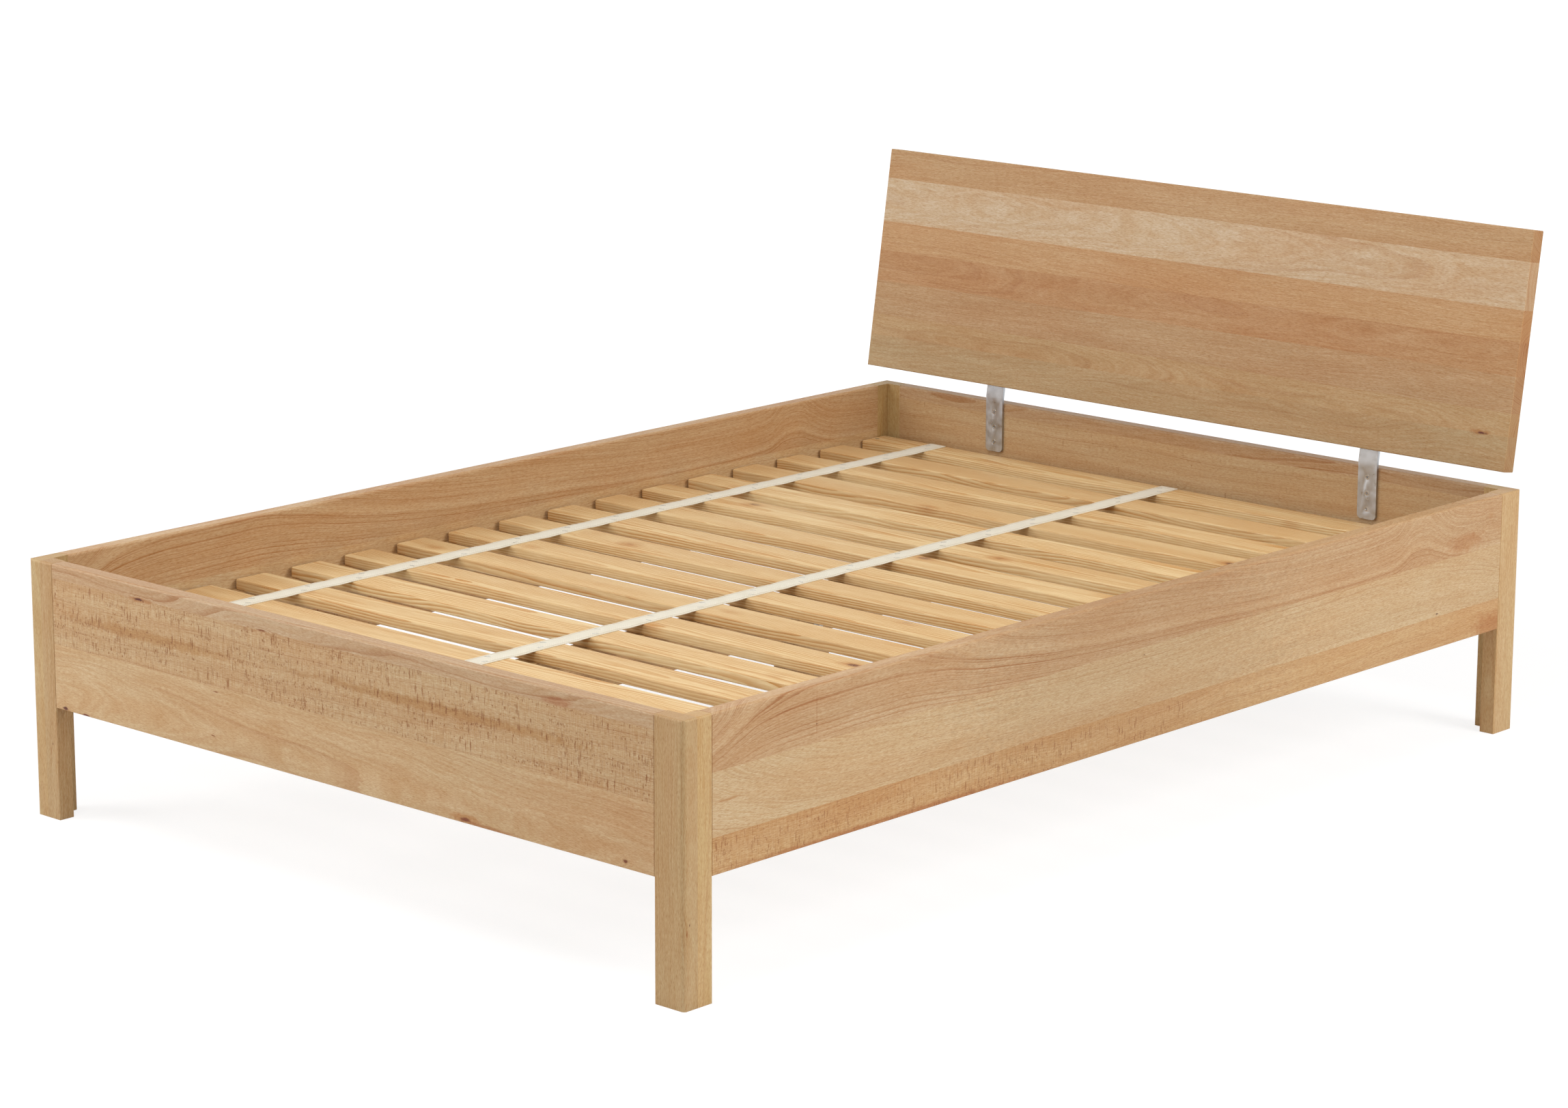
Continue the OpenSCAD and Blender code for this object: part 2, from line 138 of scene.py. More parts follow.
def make_beech_group():
    group = bpy.data.node_groups.new("beech", "ShaderNodeTree")
    for name, kind in (("Place", "Vector"), ("Heart", "Vector"), ("Tint", "Color"), ("Figure", "Float"),
                       ("Flecks", "Float"), ("Rings", "Float"), ("Sway", "Float"), ("End", "Float")):
        group.interface.new_socket(name, in_out="INPUT", socket_type="NodeSocket" + kind)
    for name, kind in (("Color", "Color"), ("Roughness", "Float"), ("Height", "Float")):
        group.interface.new_socket(name, in_out="OUTPUT", socket_type="NodeSocket" + kind)
    given = add(group, "NodeGroupInput").outputs
    place, heart = given["Place"], given["Heart"]
    along = add(group, "ShaderNodeSeparateXYZ", {0: place})

    # every board reads the noises at another place, so that no two boards match
    seed = add(group, "ShaderNodeSeparateXYZ", {0: heart})
    shift = add(group, "ShaderNodeVectorMath", {0: BOARD_JUMP, "Scale": seed}, operation="SCALE")
    spot = add(group, "ShaderNodeVectorMath", {0: place, 1: shift})
    turned = add(group, "ShaderNodeVectorMath", {0: spot, 1: NOISE_JUMP})

    # the trunk isn't round or straight: its heart wanders slowly along the grain
    wave = lumps(group, spot, (430, 150, 150)).outputs["Color"]
    wave = add(group, "ShaderNodeVectorMath", {0: wave, 1: (0.5, 0.5, 0.5)}, operation="SUBTRACT")
    wave = add(group, "ShaderNodeVectorMath", {0: wave, "Scale": given["Figure"]}, operation="SCALE")
    away = add(group, "ShaderNodeVectorMath", {0: place, 1: heart}, operation="SUBTRACT")
    away = add(group, "ShaderNodeVectorMath", {0: away, 1: wave})
    parts = add(group, "ShaderNodeSeparateXYZ", {0: away}).outputs
    flat = add(group, "ShaderNodeCombineXYZ", {1: parts[1], 2: parts[2]})
    radius = add(group, "ShaderNodeVectorMath", {0: flat}, operation="LENGTH").outputs["Value"]
    angle = add(group, "ShaderNodeMath", {0: parts[1], 1: parts[2]}, operation="ARCTAN2")
    ringed = add(group, "ShaderNodeMath", {0: along, 1: TAPER, 2: radius}, operation="MULTIPLY_ADD")
    waver = lumps(group, spot, (90, 22, 22), 2.0)
    ringed = add(group, "ShaderNodeMath", {0: waver, 1: 3.0, 2: ringed}, operation="MULTIPLY_ADD")
    ringed = add(group, "ShaderNodeMath", {0: ringed, 1: given["Sway"]}, operation="ADD")

    # growth rings: a soft swell that ends in a thin darker line of late wood, stronger in some years
    count = add(group, "ShaderNodeMath", {0: ringed, 1: 1 / RING_PITCH}, operation="MULTIPLY")
    years = add(group, "ShaderNodeTexNoise", {"W": count, "Scale": 0.31, "Detail": 1.0},
                noise_dimensions="1D")
    uneven = add(group, "ShaderNodeMath", {0: years, 1: 2.6, 2: count}, operation="MULTIPLY_ADD")
    within = add(group, "ShaderNodeMath", {0: uneven}, operation="FRACT")
    late_wood = add(group, "ShaderNodeValToRGB", {0: within}, label="late wood")
    ramp = late_wood.color_ramp.elements
    ramp[0].position, ramp[1].position = 0.0, 1.0
    for element, level in ((ramp[0], 0.45), (ramp[1], 0.45), (ramp.new(0.16), 0.05), (ramp.new(0.45), 0.2),
                           (ramp.new(0.8), 1.0)):
        element.color = (level, level, level, 1)
    year = add(group, "ShaderNodeMath", {0: uneven}, operation="FLOOR")
    year = add(group, "ShaderNodeTexWhiteNoise", {"W": year}, noise_dimensions="1D")
    year = add(group, "ShaderNodeMapRange", {0: year, 1: 0.4, 2: 0.95, 3: 0.12})
    rings = add(group, "ShaderNodeMath", {0: late_wood, 1: year}, operation="MULTIPLY")
    patches = add(group, "ShaderNodeMapRange", {0: lumps(group, spot, (240, 40, 40)), 1: 0.38, 2: 0.62,
                                                3: 0.45})
    rings = add(group, "ShaderNodeMath", {0: rings, 1: patches}, operation="MULTIPLY")
    # rings show best where they are cut across, on the sawn ends
    shown = add(group, "ShaderNodeMath", {0: given["Rings"], 1: given["End"]}, operation="MAXIMUM")
    rings = add(group, "ShaderNodeMath", {0: rings, 1: shown}, operation="MULTIPLY")

    # broad bands that follow the rings, and slow drifts from golden to rosy and from pale to deep
    bands = add(group, "ShaderNodeTexNoise", {"W": count, "Scale": 0.14, "Detail": 2.0},
                noise_dimensions="1D")
    bands = add(group, "ShaderNodeMapRange", {0: bands, 1: 0.3, 2: 0.7})
    rosy = add(group, "ShaderNodeMapRange", {0: lumps(group, spot, (330, 60, 60), 2.0), 1: 0.38, 2: 0.64})
    pale = add(group, "ShaderNodeMapRange", {0: lumps(group, turned, (260, 32, 32), 2.0), 1: 0.42, 2: 0.66})

    # fibres: fine strokes along the grain, and threads that follow the rings
    thread_at = add(group, "ShaderNodeCombineXYZ", {0: along, 1: ringed, 2: parts[2]})
    threads = add(group, "ShaderNodeMapRange", {0: lumps(group, thread_at, (60, 1.1, 30), 2.0), 1: 0.34,
                                                2: 0.68})
    fibres = add(group, "ShaderNodeMapRange", {0: lumps(group, spot, (8, 0.8, 0.8), 3.0), 1: 0.32, 2: 0.68})
    pores = add(group, "ShaderNodeMapRange", {0: lumps(group, turned, (6, 0.8, 0.8)), 1: 0.56, 2: 0.68})

    # rays: cells that are thin along the grain, long towards the bark and narrow round the trunk
    unruly = lumps(group, spot, (4, 4, 4))
    unruly = add(group, "ShaderNodeMath", {0: unruly, 1: 2.6, 2: along}, operation="MULTIPLY_ADD")

    def rays(cell, crowd, share):
        """Which points lie in a cut ray, for rays of one size: a share of the cells holds one."""
        scales = (unruly, 1 / cell[0]), (radius, 1 / cell[1]), (angle, RAYS_FROM_HEART / cell[2])
        at = {i: add(group, "ShaderNodeMath", {0: value, 1: scale}, operation="MULTIPLY")
              for i, (value, scale) in enumerate(scales)}
        at = add(group, "ShaderNodeVectorMath", {0: add(group, "ShaderNodeCombineXYZ", at), 1: shift})
        cells = add(group, "ShaderNodeTexVoronoi", {"Vector": at, "Scale": 1.0, "Randomness": 1.0})
        core = add(group, "ShaderNodeMapRange", {0: cells.outputs["Distance"], 1: 0.5, 2: 0.28})
        chosen = add(group, "ShaderNodeSeparateColor", {0: cells.outputs["Color"]}).outputs
        wanted = add(group, "ShaderNodeMath", {0: given["Flecks"], 1: share}, operation="MULTIPLY")
        wanted = add(group, "ShaderNodeMath", {0: crowd, 1: wanted}, operation="MULTIPLY")
        held = add(group, "ShaderNodeMath", {0: wanted, 1: chosen[0]}, operation="SUBTRACT")
        held = add(group, "ShaderNodeMapRange", {0: held, 2: 0.1})
        cut = add(group, "ShaderNodeMath", {0: core, 1: held}, operation="MULTIPLY")
        depth = add(group, "ShaderNodeMapRange", {0: chosen[1], 3: 0.3})
        return add(group, "ShaderNodeMath", {0: cut, 1: depth}, operation="MULTIPLY")

    clusters = add(group, "ShaderNodeMapRange", {0: lumps(group, spot, (55, 24, 24), 2.0), 1: 0.38,
                                                 2: 0.64})
    rows = add(group, "ShaderNodeTexNoise", {"W": count, "Scale": 0.55, "Detail": 1.0},
               noise_dimensions="1D")
    rows = add(group, "ShaderNodeMapRange", {0: rows, 1: 0.42, 2: 0.62})
    breaks = add(group, "ShaderNodeMapRange", {0: lumps(group, spot, (80, 30, 30)), 1: 0.62, 2: 0.4})
    rows = add(group, "ShaderNodeMath", {0: rows, 1: breaks}, operation="MULTIPLY")
    long_rays = rays(LONG_RAYS, clusters, 0.7)
    short_rays = rays(SHORT_RAYS, rows, 0.9)
    flecks = add(group, "ShaderNodeMath", {0: long_rays, 1: short_rays}, operation="MAXIMUM")
    comb = add(group, "ShaderNodeMapRange", {0: lumps(group, spot, (2.2, 26, 26)), 1: 0.35, 2: 0.65})
    comb = add(group, "ShaderNodeMath", {0: comb, 1: given["Flecks"]}, operation="MULTIPLY")

    # the colour: the tint, pulled towards deeper browns by all of these in turn
    banded = add(group, "ShaderNodeMath", {0: bands, 1: given["Rings"]}, operation="MULTIPLY")
    wood = stain_and_shade(group, given["Tint"], [("#fcf3e9", rosy), ("#f1e6d8", banded)])
    pale = add(group, "ShaderNodeMath", {0: pale, 1: 0.16}, operation="MULTIPLY")
    wood = add(group, "ShaderNodeMix", {"Factor": pale, 6: wood, 7: colour("#d9c5a6")},
               data_type="RGBA").outputs[2]
    porous = add(group, "ShaderNodeMath", {0: pores, 1: 0.5}, operation="MULTIPLY")
    bold = add(group, "ShaderNodeMapRange", {0: given["Flecks"], 1: 0.7, 2: 1.0, 3: 0.65})
    flecked = add(group, "ShaderNodeMath", {0: flecks, 1: bold}, operation="MULTIPLY")
    wood = stain_and_shade(group, wood, [("#d9b488", rings), ("#f3e7d6", threads), ("#e9d9c3", fibres),
                               ("#d5b78f", porous), ("#f5ead9", comb), ("#c49e6e", flecked)])
    # sawn ends drink the oil: darker, pinker and duller
    wood = stain_and_shade(group, wood, [("#ecdfd2", given["End"])])

    rough = add(group, "ShaderNodeMath", {0: fibres, 1: 0.12, 2: 0.42}, operation="MULTIPLY_ADD")
    rough = add(group, "ShaderNodeMath", {0: given["End"], 1: 0.15, 2: rough}, operation="MULTIPLY_ADD")
    height = add(group, "ShaderNodeMath", {0: pores, 1: -0.5, 2: fibres}, operation="MULTIPLY_ADD")
    height = add(group, "ShaderNodeMath", {0: flecks, 1: -0.5, 2: height}, operation="MULTIPLY_ADD")
    add(group, "NodeGroupOutput", {"Color": wood, "Roughness": rough, "Height": height})
    return group


beech_group = make_beech_group()
print("the beech group has", len(beech_group.nodes), "nodes")

# %% [markdown]
# ## Staves
#
# A wide board is glued from narrow staves, each from another tree. So each board is described
# as a list of staves from its lower edge up: how wide, what tint, where the heart lay across
# the stave and behind its face, how wavy, how many rays and how strong the rings. Stepped
# colour ramps look the right stave up by its place across the board.

# %% Oiled beech for any board
HEART_RANGE = 400.0   # hearts lie within this many millimetres of the stave's middle


def stepped_ramp(tree, position, edges, values):
    """A ramp that holds one value for each stave; edges are the staves' lower ends, from 0 to 1."""
    ramp = add(tree, "ShaderNodeValToRGB", {0: position})
    ramp.color_ramp.interpolation = "CONSTANT"
    steps = ramp.color_ramp.elements
    while len(steps) < len(values):
        steps.new(0.5)
    while len(steps) > len(values):
        steps.remove(steps[-1])
    for i, (edge, value) in enumerate(zip(edges, values)):
        steps[i].position = edge
        steps[i].color = value
    return ramp.outputs[0]


def grain_place(tree, origin, along, across, depth):
    """The shaded point in millimetres along the grain, across the face and into the board."""
    at = add(tree, "ShaderNodeTexCoord").outputs["Object"]
    at = add(tree, "ShaderNodeVectorMath", {0: at, 1: origin}, operation="SUBTRACT").outputs[0]
    parts = [add(tree, "ShaderNodeVectorMath", {0: at, 1: [c / MM for c in axis]}, operation="DOT_PRODUCT")
             for axis in (along, across, depth)]
    return add(tree, "ShaderNodeCombineXYZ", {i: part.outputs["Value"] for i,
                                              part in enumerate(parts)}).outputs[0]


def heart_rise(tree, along, places):
    """How far the heart rises along a stave: a smooth curve through a few places, all in millimetres."""
    first, last = places[0][0], places[-1][0]
    rises = [rise for _, rise in places]
    low, high = min(rises), max(rises)
    where = add(tree, "ShaderNodeMapRange", {0: along, 1: first, 2: last}).outputs[0]
    curve = add(tree, "ShaderNodeFloatCurve", {1: where})
    points = curve.mapping.curves[0].points
    spots = [((at - first) / (last - first), (rise - low) / (high - low)) for at, rise in places]
    points[0].location, points[-1].location = spots[0], spots[-1]
    for spot in spots[1:-1]:
        points.new(*spot)
    curve.mapping.update()
    return add(tree, "ShaderNodeMapRange", {0: curve, 3: low, 4: high}).outputs[0]


def nearness(tree, place, mark, reach):
    """1 in the middle of a mark, 0 outside it; reach widens it, and a noise frays its edge."""
    at, across, half_length, half_height = mark[:4]
    fray = add(tree, "ShaderNodeTexNoise", {"Vector": place, "Scale": 0.09, "Detail": 2.0}).outputs["Color"]
    fray = add(tree, "ShaderNodeVectorMath", {0: fray, 1: (0.5, 0.5, 0.5)}, operation="SUBTRACT").outputs[0]
    away = add(tree, "ShaderNodeVectorMath", {0: place, 1: (at, across, 0)},
               operation="SUBTRACT").outputs[0]
    size = (1 / (half_length * reach), 1 / (half_height * reach), 0)
    away = add(tree, "ShaderNodeVectorMath", {0: away, 1: size}, operation="MULTIPLY").outputs[0]
    away = add(tree, "ShaderNodeVectorMath", {0: away, 1: fray}).outputs[0]
    away = add(tree, "ShaderNodeVectorMath", {0: away}, operation="LENGTH").outputs["Value"]
    return add(tree, "ShaderNodeMapRange", {0: away, 1: 1.0, 2: 0.35},
               interpolation_type="SMOOTHSTEP").outputs[0]


def oiled_beech(name, origin, along, across, depth, staves, seed=0.0, marks=(), plain_from=None, ends=1.0):
    """Beech, sanded and oiled: satin, warm, a little darker on the sawn ends.

    A mark is a knot, streak or blush, or a patch of painted shade: place along and across, half length, half
    height, how far it pushes the rings aside, and its stain or painted shade. From plain_from to its end, a
    board has few flecks.
    Ends says how much deeper the sawn ends are.
    """
    material, tree = empty_material(name)
    place = grain_place(tree, origin, along, across, depth)
    width = sum(stave["width"] for stave in staves)
    spot = add(tree, "ShaderNodeSeparateXYZ", {0: place}).outputs
    position = add(tree, "ShaderNodeMath", {0: spot[1], 1: 1 / width}, operation="MULTIPLY").outputs[0]
    edges, hearts, looks, low, sway = [], [], [], 0.0, 0.0
    for i, stave in enumerate(staves):
        edges.append(low / width)
        middle = low + stave["width"] / 2
        hearts.append((((i * 0.37 + seed) % 1.0),
                       0.5 + (middle + stave["heart"][0]) / (2 * HEART_RANGE),
                       0.5 + stave["heart"][1] / (2 * HEART_RANGE), 1))
        looks.append((stave["figure"], stave["flecks"], stave["rings"], 1))
        if stave["sway"]:
            rise = heart_rise(tree, spot[0], stave["sway"])
            here = add(tree, "ShaderNodeMath", {0: spot[1], 1: middle, 2: stave["width"] / 2},
                       operation="COMPARE").outputs[0]
            # the grain runs straighter towards the stave's lower edge
            share = add(tree, "ShaderNodeMapRange", {0: spot[1], 1: low, 2: low + stave["width"], 3: 0.45,
                                                     4: 1.0}).outputs[0]
            share = add(tree, "ShaderNodeMath", {0: here, 1: share}, operation="MULTIPLY").outputs[0]
            sway = add(tree, "ShaderNodeMath", {0: rise, 1: share, 2: sway},
                       operation="MULTIPLY_ADD").outputs[0]
        low += stave["width"]
    for mark in marks:
        if mark[4]:
            near = nearness(tree, place, mark, 3.0)
            sway = add(tree, "ShaderNodeMath", {0: near, 1: mark[4], 2: sway},
                       operation="MULTIPLY_ADD").outputs[0]
    tint = stepped_ramp(tree, position, edges, [colour(stave["tint"]) for stave in staves])
    heart = stepped_ramp(tree, position, edges, hearts)
    heart = add(tree, "ShaderNodeVectorMath", {0: heart, 1: (0.0, 0.5, 0.5)}, operation="SUBTRACT")
    heart = add(tree, "ShaderNodeVectorMath", {0: heart, 1: (1.0, 2 * HEART_RANGE, 2 * HEART_RANGE)},
                operation="MULTIPLY").outputs[0]
    look = add(tree, "ShaderNodeSeparateColor", {0: stepped_ramp(tree, position, edges, looks)}).outputs
    figure = add(tree, "ShaderNodeMath", {0: look[0], 1: 100.0}, operation="MULTIPLY").outputs[0]
    flecks = look[1]
    if plain_from is not None:
        fade = add(tree, "ShaderNodeMapRange", {0: spot[0], 1: plain_from - 300, 2: plain_from, 3: 1.0,
                                                4: 0.12})
        flecks = add(tree, "ShaderNodeMath", {0: flecks, 1: fade}, operation="MULTIPLY").outputs[0]
    normal = add(tree, "ShaderNodeTexCoord").outputs["Normal"]
    end = add(tree, "ShaderNodeVectorMath", {0: normal, 1: along}, operation="DOT_PRODUCT").outputs["Value"]
    end = add(tree, "ShaderNodeMath", {0: end}, operation="ABSOLUTE").outputs[0]
    end = add(tree, "ShaderNodeMapRange", {0: end, 1: 0.6, 2: 0.9, 4: ends}).outputs[0]
    beech = add(tree, "ShaderNodeGroup", node_tree=beech_group)
    for socket, source in (("Place", place), ("Heart", heart), ("Tint", tint), ("Figure", figure),
                           ("Flecks", flecks), ("Rings", look[2]), ("End", end)):
        tree.links.new(source, beech.inputs[socket])
    if not isinstance(sway, float):
        tree.links.new(sway, beech.inputs["Sway"])
    # the marks' coats: knots, streaks and blushes, and painted shade where a broad mark stands in for less
    # light
    skin = stain_and_shade(tree, beech.outputs["Color"], [(mark[5], nearness(tree, place, mark,
                                                                   1.0)) for mark in marks])
    bump = add(tree, "ShaderNodeBump", {"Strength": 0.25, "Distance": 0.1 * MM,
                                        "Height": beech.outputs["Height"]})
    wood = add(tree, "ShaderNodeBsdfPrincipled",
               {"Base Color": skin, "Roughness": beech.outputs["Roughness"],
                "Normal": bump, "IOR": 1.5, "Specular IOR Level": 0.4})
    add(tree, "ShaderNodeOutputMaterial", {0: wood})
    return material


def stave(width, tint, heart, figure=0.15, flecks=0.15, rings=0.6, sway=None):
    return {"width": width, "tint": tint, "heart": heart, "figure": figure, "flecks": flecks,
            "rings": rings,
            "sway": sway}


def dress(names, material):
    for name in names:
        mesh = nodes[name].data
        mesh.materials.clear()
        mesh.materials.append(material)


# %% [markdown]
# ## The boards of this bed
#
# The foot panel has a strongly flecked stave between two plain ones, the side rails an arched
# stave on top, and the headboard seven narrow staves.

# %% Rails, panel and headboard
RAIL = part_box("side_rail_right")
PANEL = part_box("foot_panel")
rail_low = RAIL[0][2]
side_x = RAIL[1][0]
foot_y = PANEL[0][1]
HEAD_TILT = math.radians(9.0)
BOARD = 28 * MM       # the thickness of every board

panel_staves = [
    stave(107, "#cab38f", (-30, 160), figure=0.18, flecks=0.0, rings=0.45),
    stave(108, "#c9b595", (190, -6), figure=0.3, flecks=1.0, rings=0.6),
    stave(24, "#c5b094", (20, 60), figure=0.4, flecks=0.0, rings=0.8),
]
# how the heart rises and falls behind the arched staves, from the foot to the head
MIDDLE_RISE = [(-990, 58), (-900, 36), (-780, 8), (-600, -16), (-300, -34), (0, -42), (400, -38),
               (700, -42), (850, -60), (990, -104)]
TOP_RISE = [(-990, -84), (-960, -58), (-920, -27), (-870, -7), (-775, 2), (-680, 2), (-590, 2),
            (-500, -9), (-400, -34), (-150, -92), (150, -140), (300, -174), (450, -192), (600, -194),
            (660, -184), (705, -140), (745, -112), (790, -140), (835, -196), (870, -222), (990, -250)]
rail_staves = [
    stave(56, "#cdaf83", (150, 25), figure=0.4, flecks=0.8, rings=0.5),
    stave(96, "#d0bc9a", (100, 60), figure=0.2, flecks=0.0, rings=0.5, sway=MIDDLE_RISE),
    stave(87, "#ccb493", (44, 18), figure=0.12, flecks=0.0, rings=1.0, sway=TOP_RISE),
]
# place along and up the board, half length, half height, push on the rings, stain or painted shade
panel_marks = [
    (-456, 216, 17, 2.8, 3, "#854418"), (-456, 216, 40, 6, 0, "#ecd0b0"),
    (-163, 216, 14, 2.0, 3, "#b98456"),
    (-420, 158, 270, 13, 0, "#ecdabc"), (240, 164, 430, 12, 0, "#ecdabc"), (-647, 4, 9, 4, 12, "#7c3c12"),
    (-597, 2, 14, 3, 8, "#935226"), (-274, 99, 9, 1.5, 0, "#b98c66"), (-283, 27, 8, 1.5, 0, "#b98c66"),
    (285, 6, 14, 4, 10, "#b27a44"), (285, 8, 45, 9, 0, "#ecd0b0"), (615, 11, 6, 3.5, 8, "#a0662f"),
    # painted shade: the next mark paints the right part of the foot panel a little darker, where less light
    # falls
    (560, 50, 330, 75, 0, "#fbf3ec"),
    (480, 222, 40, 9, 0, "#ecd0bd"), (330, 3, 90, 4, 0, "#e5c9b2"),
]
rail_marks = [
    (-768, 195, 1.2, 60, 0, "#ecdccb"), (-768, 180, 2, 1.5, 0, "#b5977c"), (800, 61, 5, 1.8, 5, "#7d5a45"),
    (-5, 140, 2, 1.2, 0, "#8f6d55"), (-950, 107, 38, 2.5, 0, "#ead4bb"), (900, 180, 15, 8, 26, "#faf2e9"),
    (955, 207, 9, 9, 10, "#faf2e9"), (880, 172, 75, 22, 0, "#f1decb"), (965, 8, 70, 34, 0, "#ecd4bc"),
    # painted shade: the second mark on the next line, at -30 along, paints the middle of the rail a shade
    # darker, where less light falls
    (-600, 3, 420, 7, 0, "#e8ccb4"), (-30, 120, 560, 330, 0, "#f1efec"),
]
head_marks = [(676, 61, 11, 3.2, 8, "#8f5024"), (672, 62, 26, 7, 0, "#ecd0b0")]
plain_staves = [{**part, "flecks": 0.15} for part in panel_staves]
head_staves = [
    stave(60, "#b8a37f", (40, 80), figure=0.35, flecks=0.06, rings=0.35),
    stave(41, "#bda37b", (-20, 60), figure=0.35, flecks=0.06, rings=0.35),
    stave(63, "#bca07c", (90, 50), figure=0.35, flecks=0.06, rings=0.35),
    stave(59, "#bd986e", (10, 70), figure=0.35, flecks=0.06, rings=0.4),
    stave(55, "#c4a176", (-60, 50), figure=0.35, flecks=0.06, rings=0.35),
    stave(83, "#cfbea6", (10, 150), figure=0.2, flecks=0.06, rings=0.3),
    stave(57, "#c0a27b", (60, 60), figure=0.35, flecks=0.06, rings=0.35),
]
X, Y, Z = (1, 0, 0), (0, 1, 0), (0, 0, 1)
dress(["foot_panel"], oiled_beech("oiled_beech_foot_panel", (0, foot_y, rail_low), X, Z, Y, panel_staves,
                                  0.11,
                                  panel_marks))
dress(["head_rail"], oiled_beech("oiled_beech_head_rail", (0, -foot_y, rail_low), X, Z, (0, -1, 0),
                                 plain_staves, 0.43))
dress(["side_rail_right"], oiled_beech("oiled_beech_right_rail", (side_x, 0, rail_low), Y, Z, (-1, 0, 0),
                                       rail_staves, 0.2, rail_marks, plain_from=250))
dress(["side_rail_left"], oiled_beech("oiled_beech_left_rail", (-side_x, 0, rail_low), Y, Z, X, rail_staves,
                                      0.77,
                                      plain_from=-100))
slope = (0, math.sin(HEAD_TILT), math.cos(HEAD_TILT))
behind = (0, math.cos(HEAD_TILT), -math.sin(HEAD_TILT))
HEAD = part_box("headboard")
head_origin = (0, HEAD[0][1], HEAD[0][2] + BOARD * math.sin(HEAD_TILT))
dress(["headboard"], oiled_beech("oiled_beech_headboard", head_origin, X, slope, behind, head_staves, 0.31,
                               head_marks))

# %% [markdown]
# ## Legs
#
# Each leg is glued from a wide board and a narrow strip, and all four are the same piece turned
# a quarter further at each corner, so their grain frames turn with them.

# %% Legs
# the tints of the board and of the strip, and a pin knot: up the leg and along its wing
legs = {"foot_left": (-1, -1, "#c1ac82", "#baa27a", (127, 46)),
        "foot_right": (1, -1, "#c1ab83", "#ccb383", (127, 11.5)),
        "head_right": (1, 1, "#d0b98f", "#c6b283", (300, 40)),
        "head_left": (-1, 1, "#c4b286", "#c6b283", (210, 20))}
for turn, (corner, (side, end, board, strip, knot)) in enumerate(legs.items()):
    a = math.radians(90 * turn)
    wing = (math.cos(a), math.sin(a), 0)
    other_wing = (-math.sin(a), math.cos(a), 0)
    origin = (side * side_x, end * -foot_y, 0)
    leg_staves = [stave(28, board, (0, 70), figure=0.2, flecks=0.0, rings=0.4),
                  stave(30, strip, (25, 60), figure=0.2, flecks=0.0, rings=0.4)]
    leg_marks = [(*knot, 2.6, 1.1, 2, "#8c5540"), (knot[0] - 12, knot[1] - 5, 9, 2, 0, "#e6cbb4")]
    dress(["leg_" + corner], oiled_beech("oiled_beech_leg_" + corner, origin, Z, wing, other_wing,
                                         leg_staves, 0.13 + 0.23 * turn, leg_marks, ends=0.1))

# %% Cleats, beam and centre leg
inner_staves = [stave(400, "#c9b088", (60, 70), figure=0.4, flecks=0.2, rings=0.6)]
for number, name in enumerate(("cleat_left", "cleat_right", "centre_beam")):
    low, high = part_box(name)
    dress([name], oiled_beech("planed_beech_" + name, (low[0], 0, low[2] - 0.1), Y, Z, X, inner_staves,
                              0.3 * number))
dress(["centre_leg"], oiled_beech("planed_beech_centre_leg", (-0.2, 0, 0), Z, X, Y, inner_staves, 0.55))
dress(["corner_dowels"], oiled_beech("planed_beech_dowels", (-1, -1.2, 0), X, Z, Y, inner_staves, 0.8))

# %% [markdown]
# ## Metals, webbing and plastic
#
# Zinc-plated steel is a metal with a grey-blue tone. Its plating is neither mirror-bright nor
# even, so its roughness drifts from place to place, and faint rolling marks run through it. A
# metal's look is mostly its roughness, so that is where the work goes.

# %% Zinc, brass and black plastic
DRIFT_SIZE = 14 * MM      # how far apart dull and bright places lie


def finish(name, hex_value, metallic, rough, drift, bump, grain):
    """A hard finish: its colour and roughness drift slightly, over lumps of these sizes in millimetres."""
    material, tree = empty_material(name)
    at = add(tree, "ShaderNodeTexCoord").outputs["Object"]
    fine = lumps(tree, at, [s * MM for s in grain], 3.0)
    drifts = add(tree, "ShaderNodeTexNoise", {"Vector": at, "Scale": 1 / DRIFT_SIZE, "Detail": 2.0})
    both = add(tree, "ShaderNodeMath", {0: fine, 1: 0.5, 2: drifts}, operation="MULTIPLY_ADD")
    dull = add(tree, "ShaderNodeMapRange", {0: both, 1: 0.5, 2: 1.0, 3: rough - drift,
                                            4: rough + drift}).outputs[0]
    dark = add(tree, "ShaderNodeMapRange", {0: drifts, 1: 0.3, 2: 0.7, 3: 0.86, 4: 1.0}).outputs[0]
    tone = add(tree, "ShaderNodeVectorMath", {0: colour(hex_value)[:3], "Scale": dark}, operation="SCALE")
    relief = add(tree, "ShaderNodeBump", {"Strength": bump, "Distance": 0.05 * MM, "Height": fine})
    skin = add(tree, "ShaderNodeBsdfPrincipled", {"Base Color": tone, "Roughness": dull,
                                                  "Metallic": metallic, "Normal": relief})
    add(tree, "ShaderNodeOutputMaterial", {0: skin})
    return material


# hot-rolled strip, zinc plated: cool grey, satin, with faint marks along the strip
zinc_strip = finish("zinc_plated_strip", "#b9bcc0", 1.0, 0.36, 0.10, 0.3, (1.2, 1.2, 14))
# cold-headed screws, bright zinc: a little shinier than the strip
zinc_screw = finish("bright_zinc_screw", "#c4c6c8", 1.0, 0.28, 0.08, 0.15, (1.5, 1.5, 1.5))
# turned brass with a knurl, dull from handling
turned_brass = finish("turned_brass", "#c9a45c", 1.0, 0.34, 0.08, 0.2, (4, 4, 0.4))
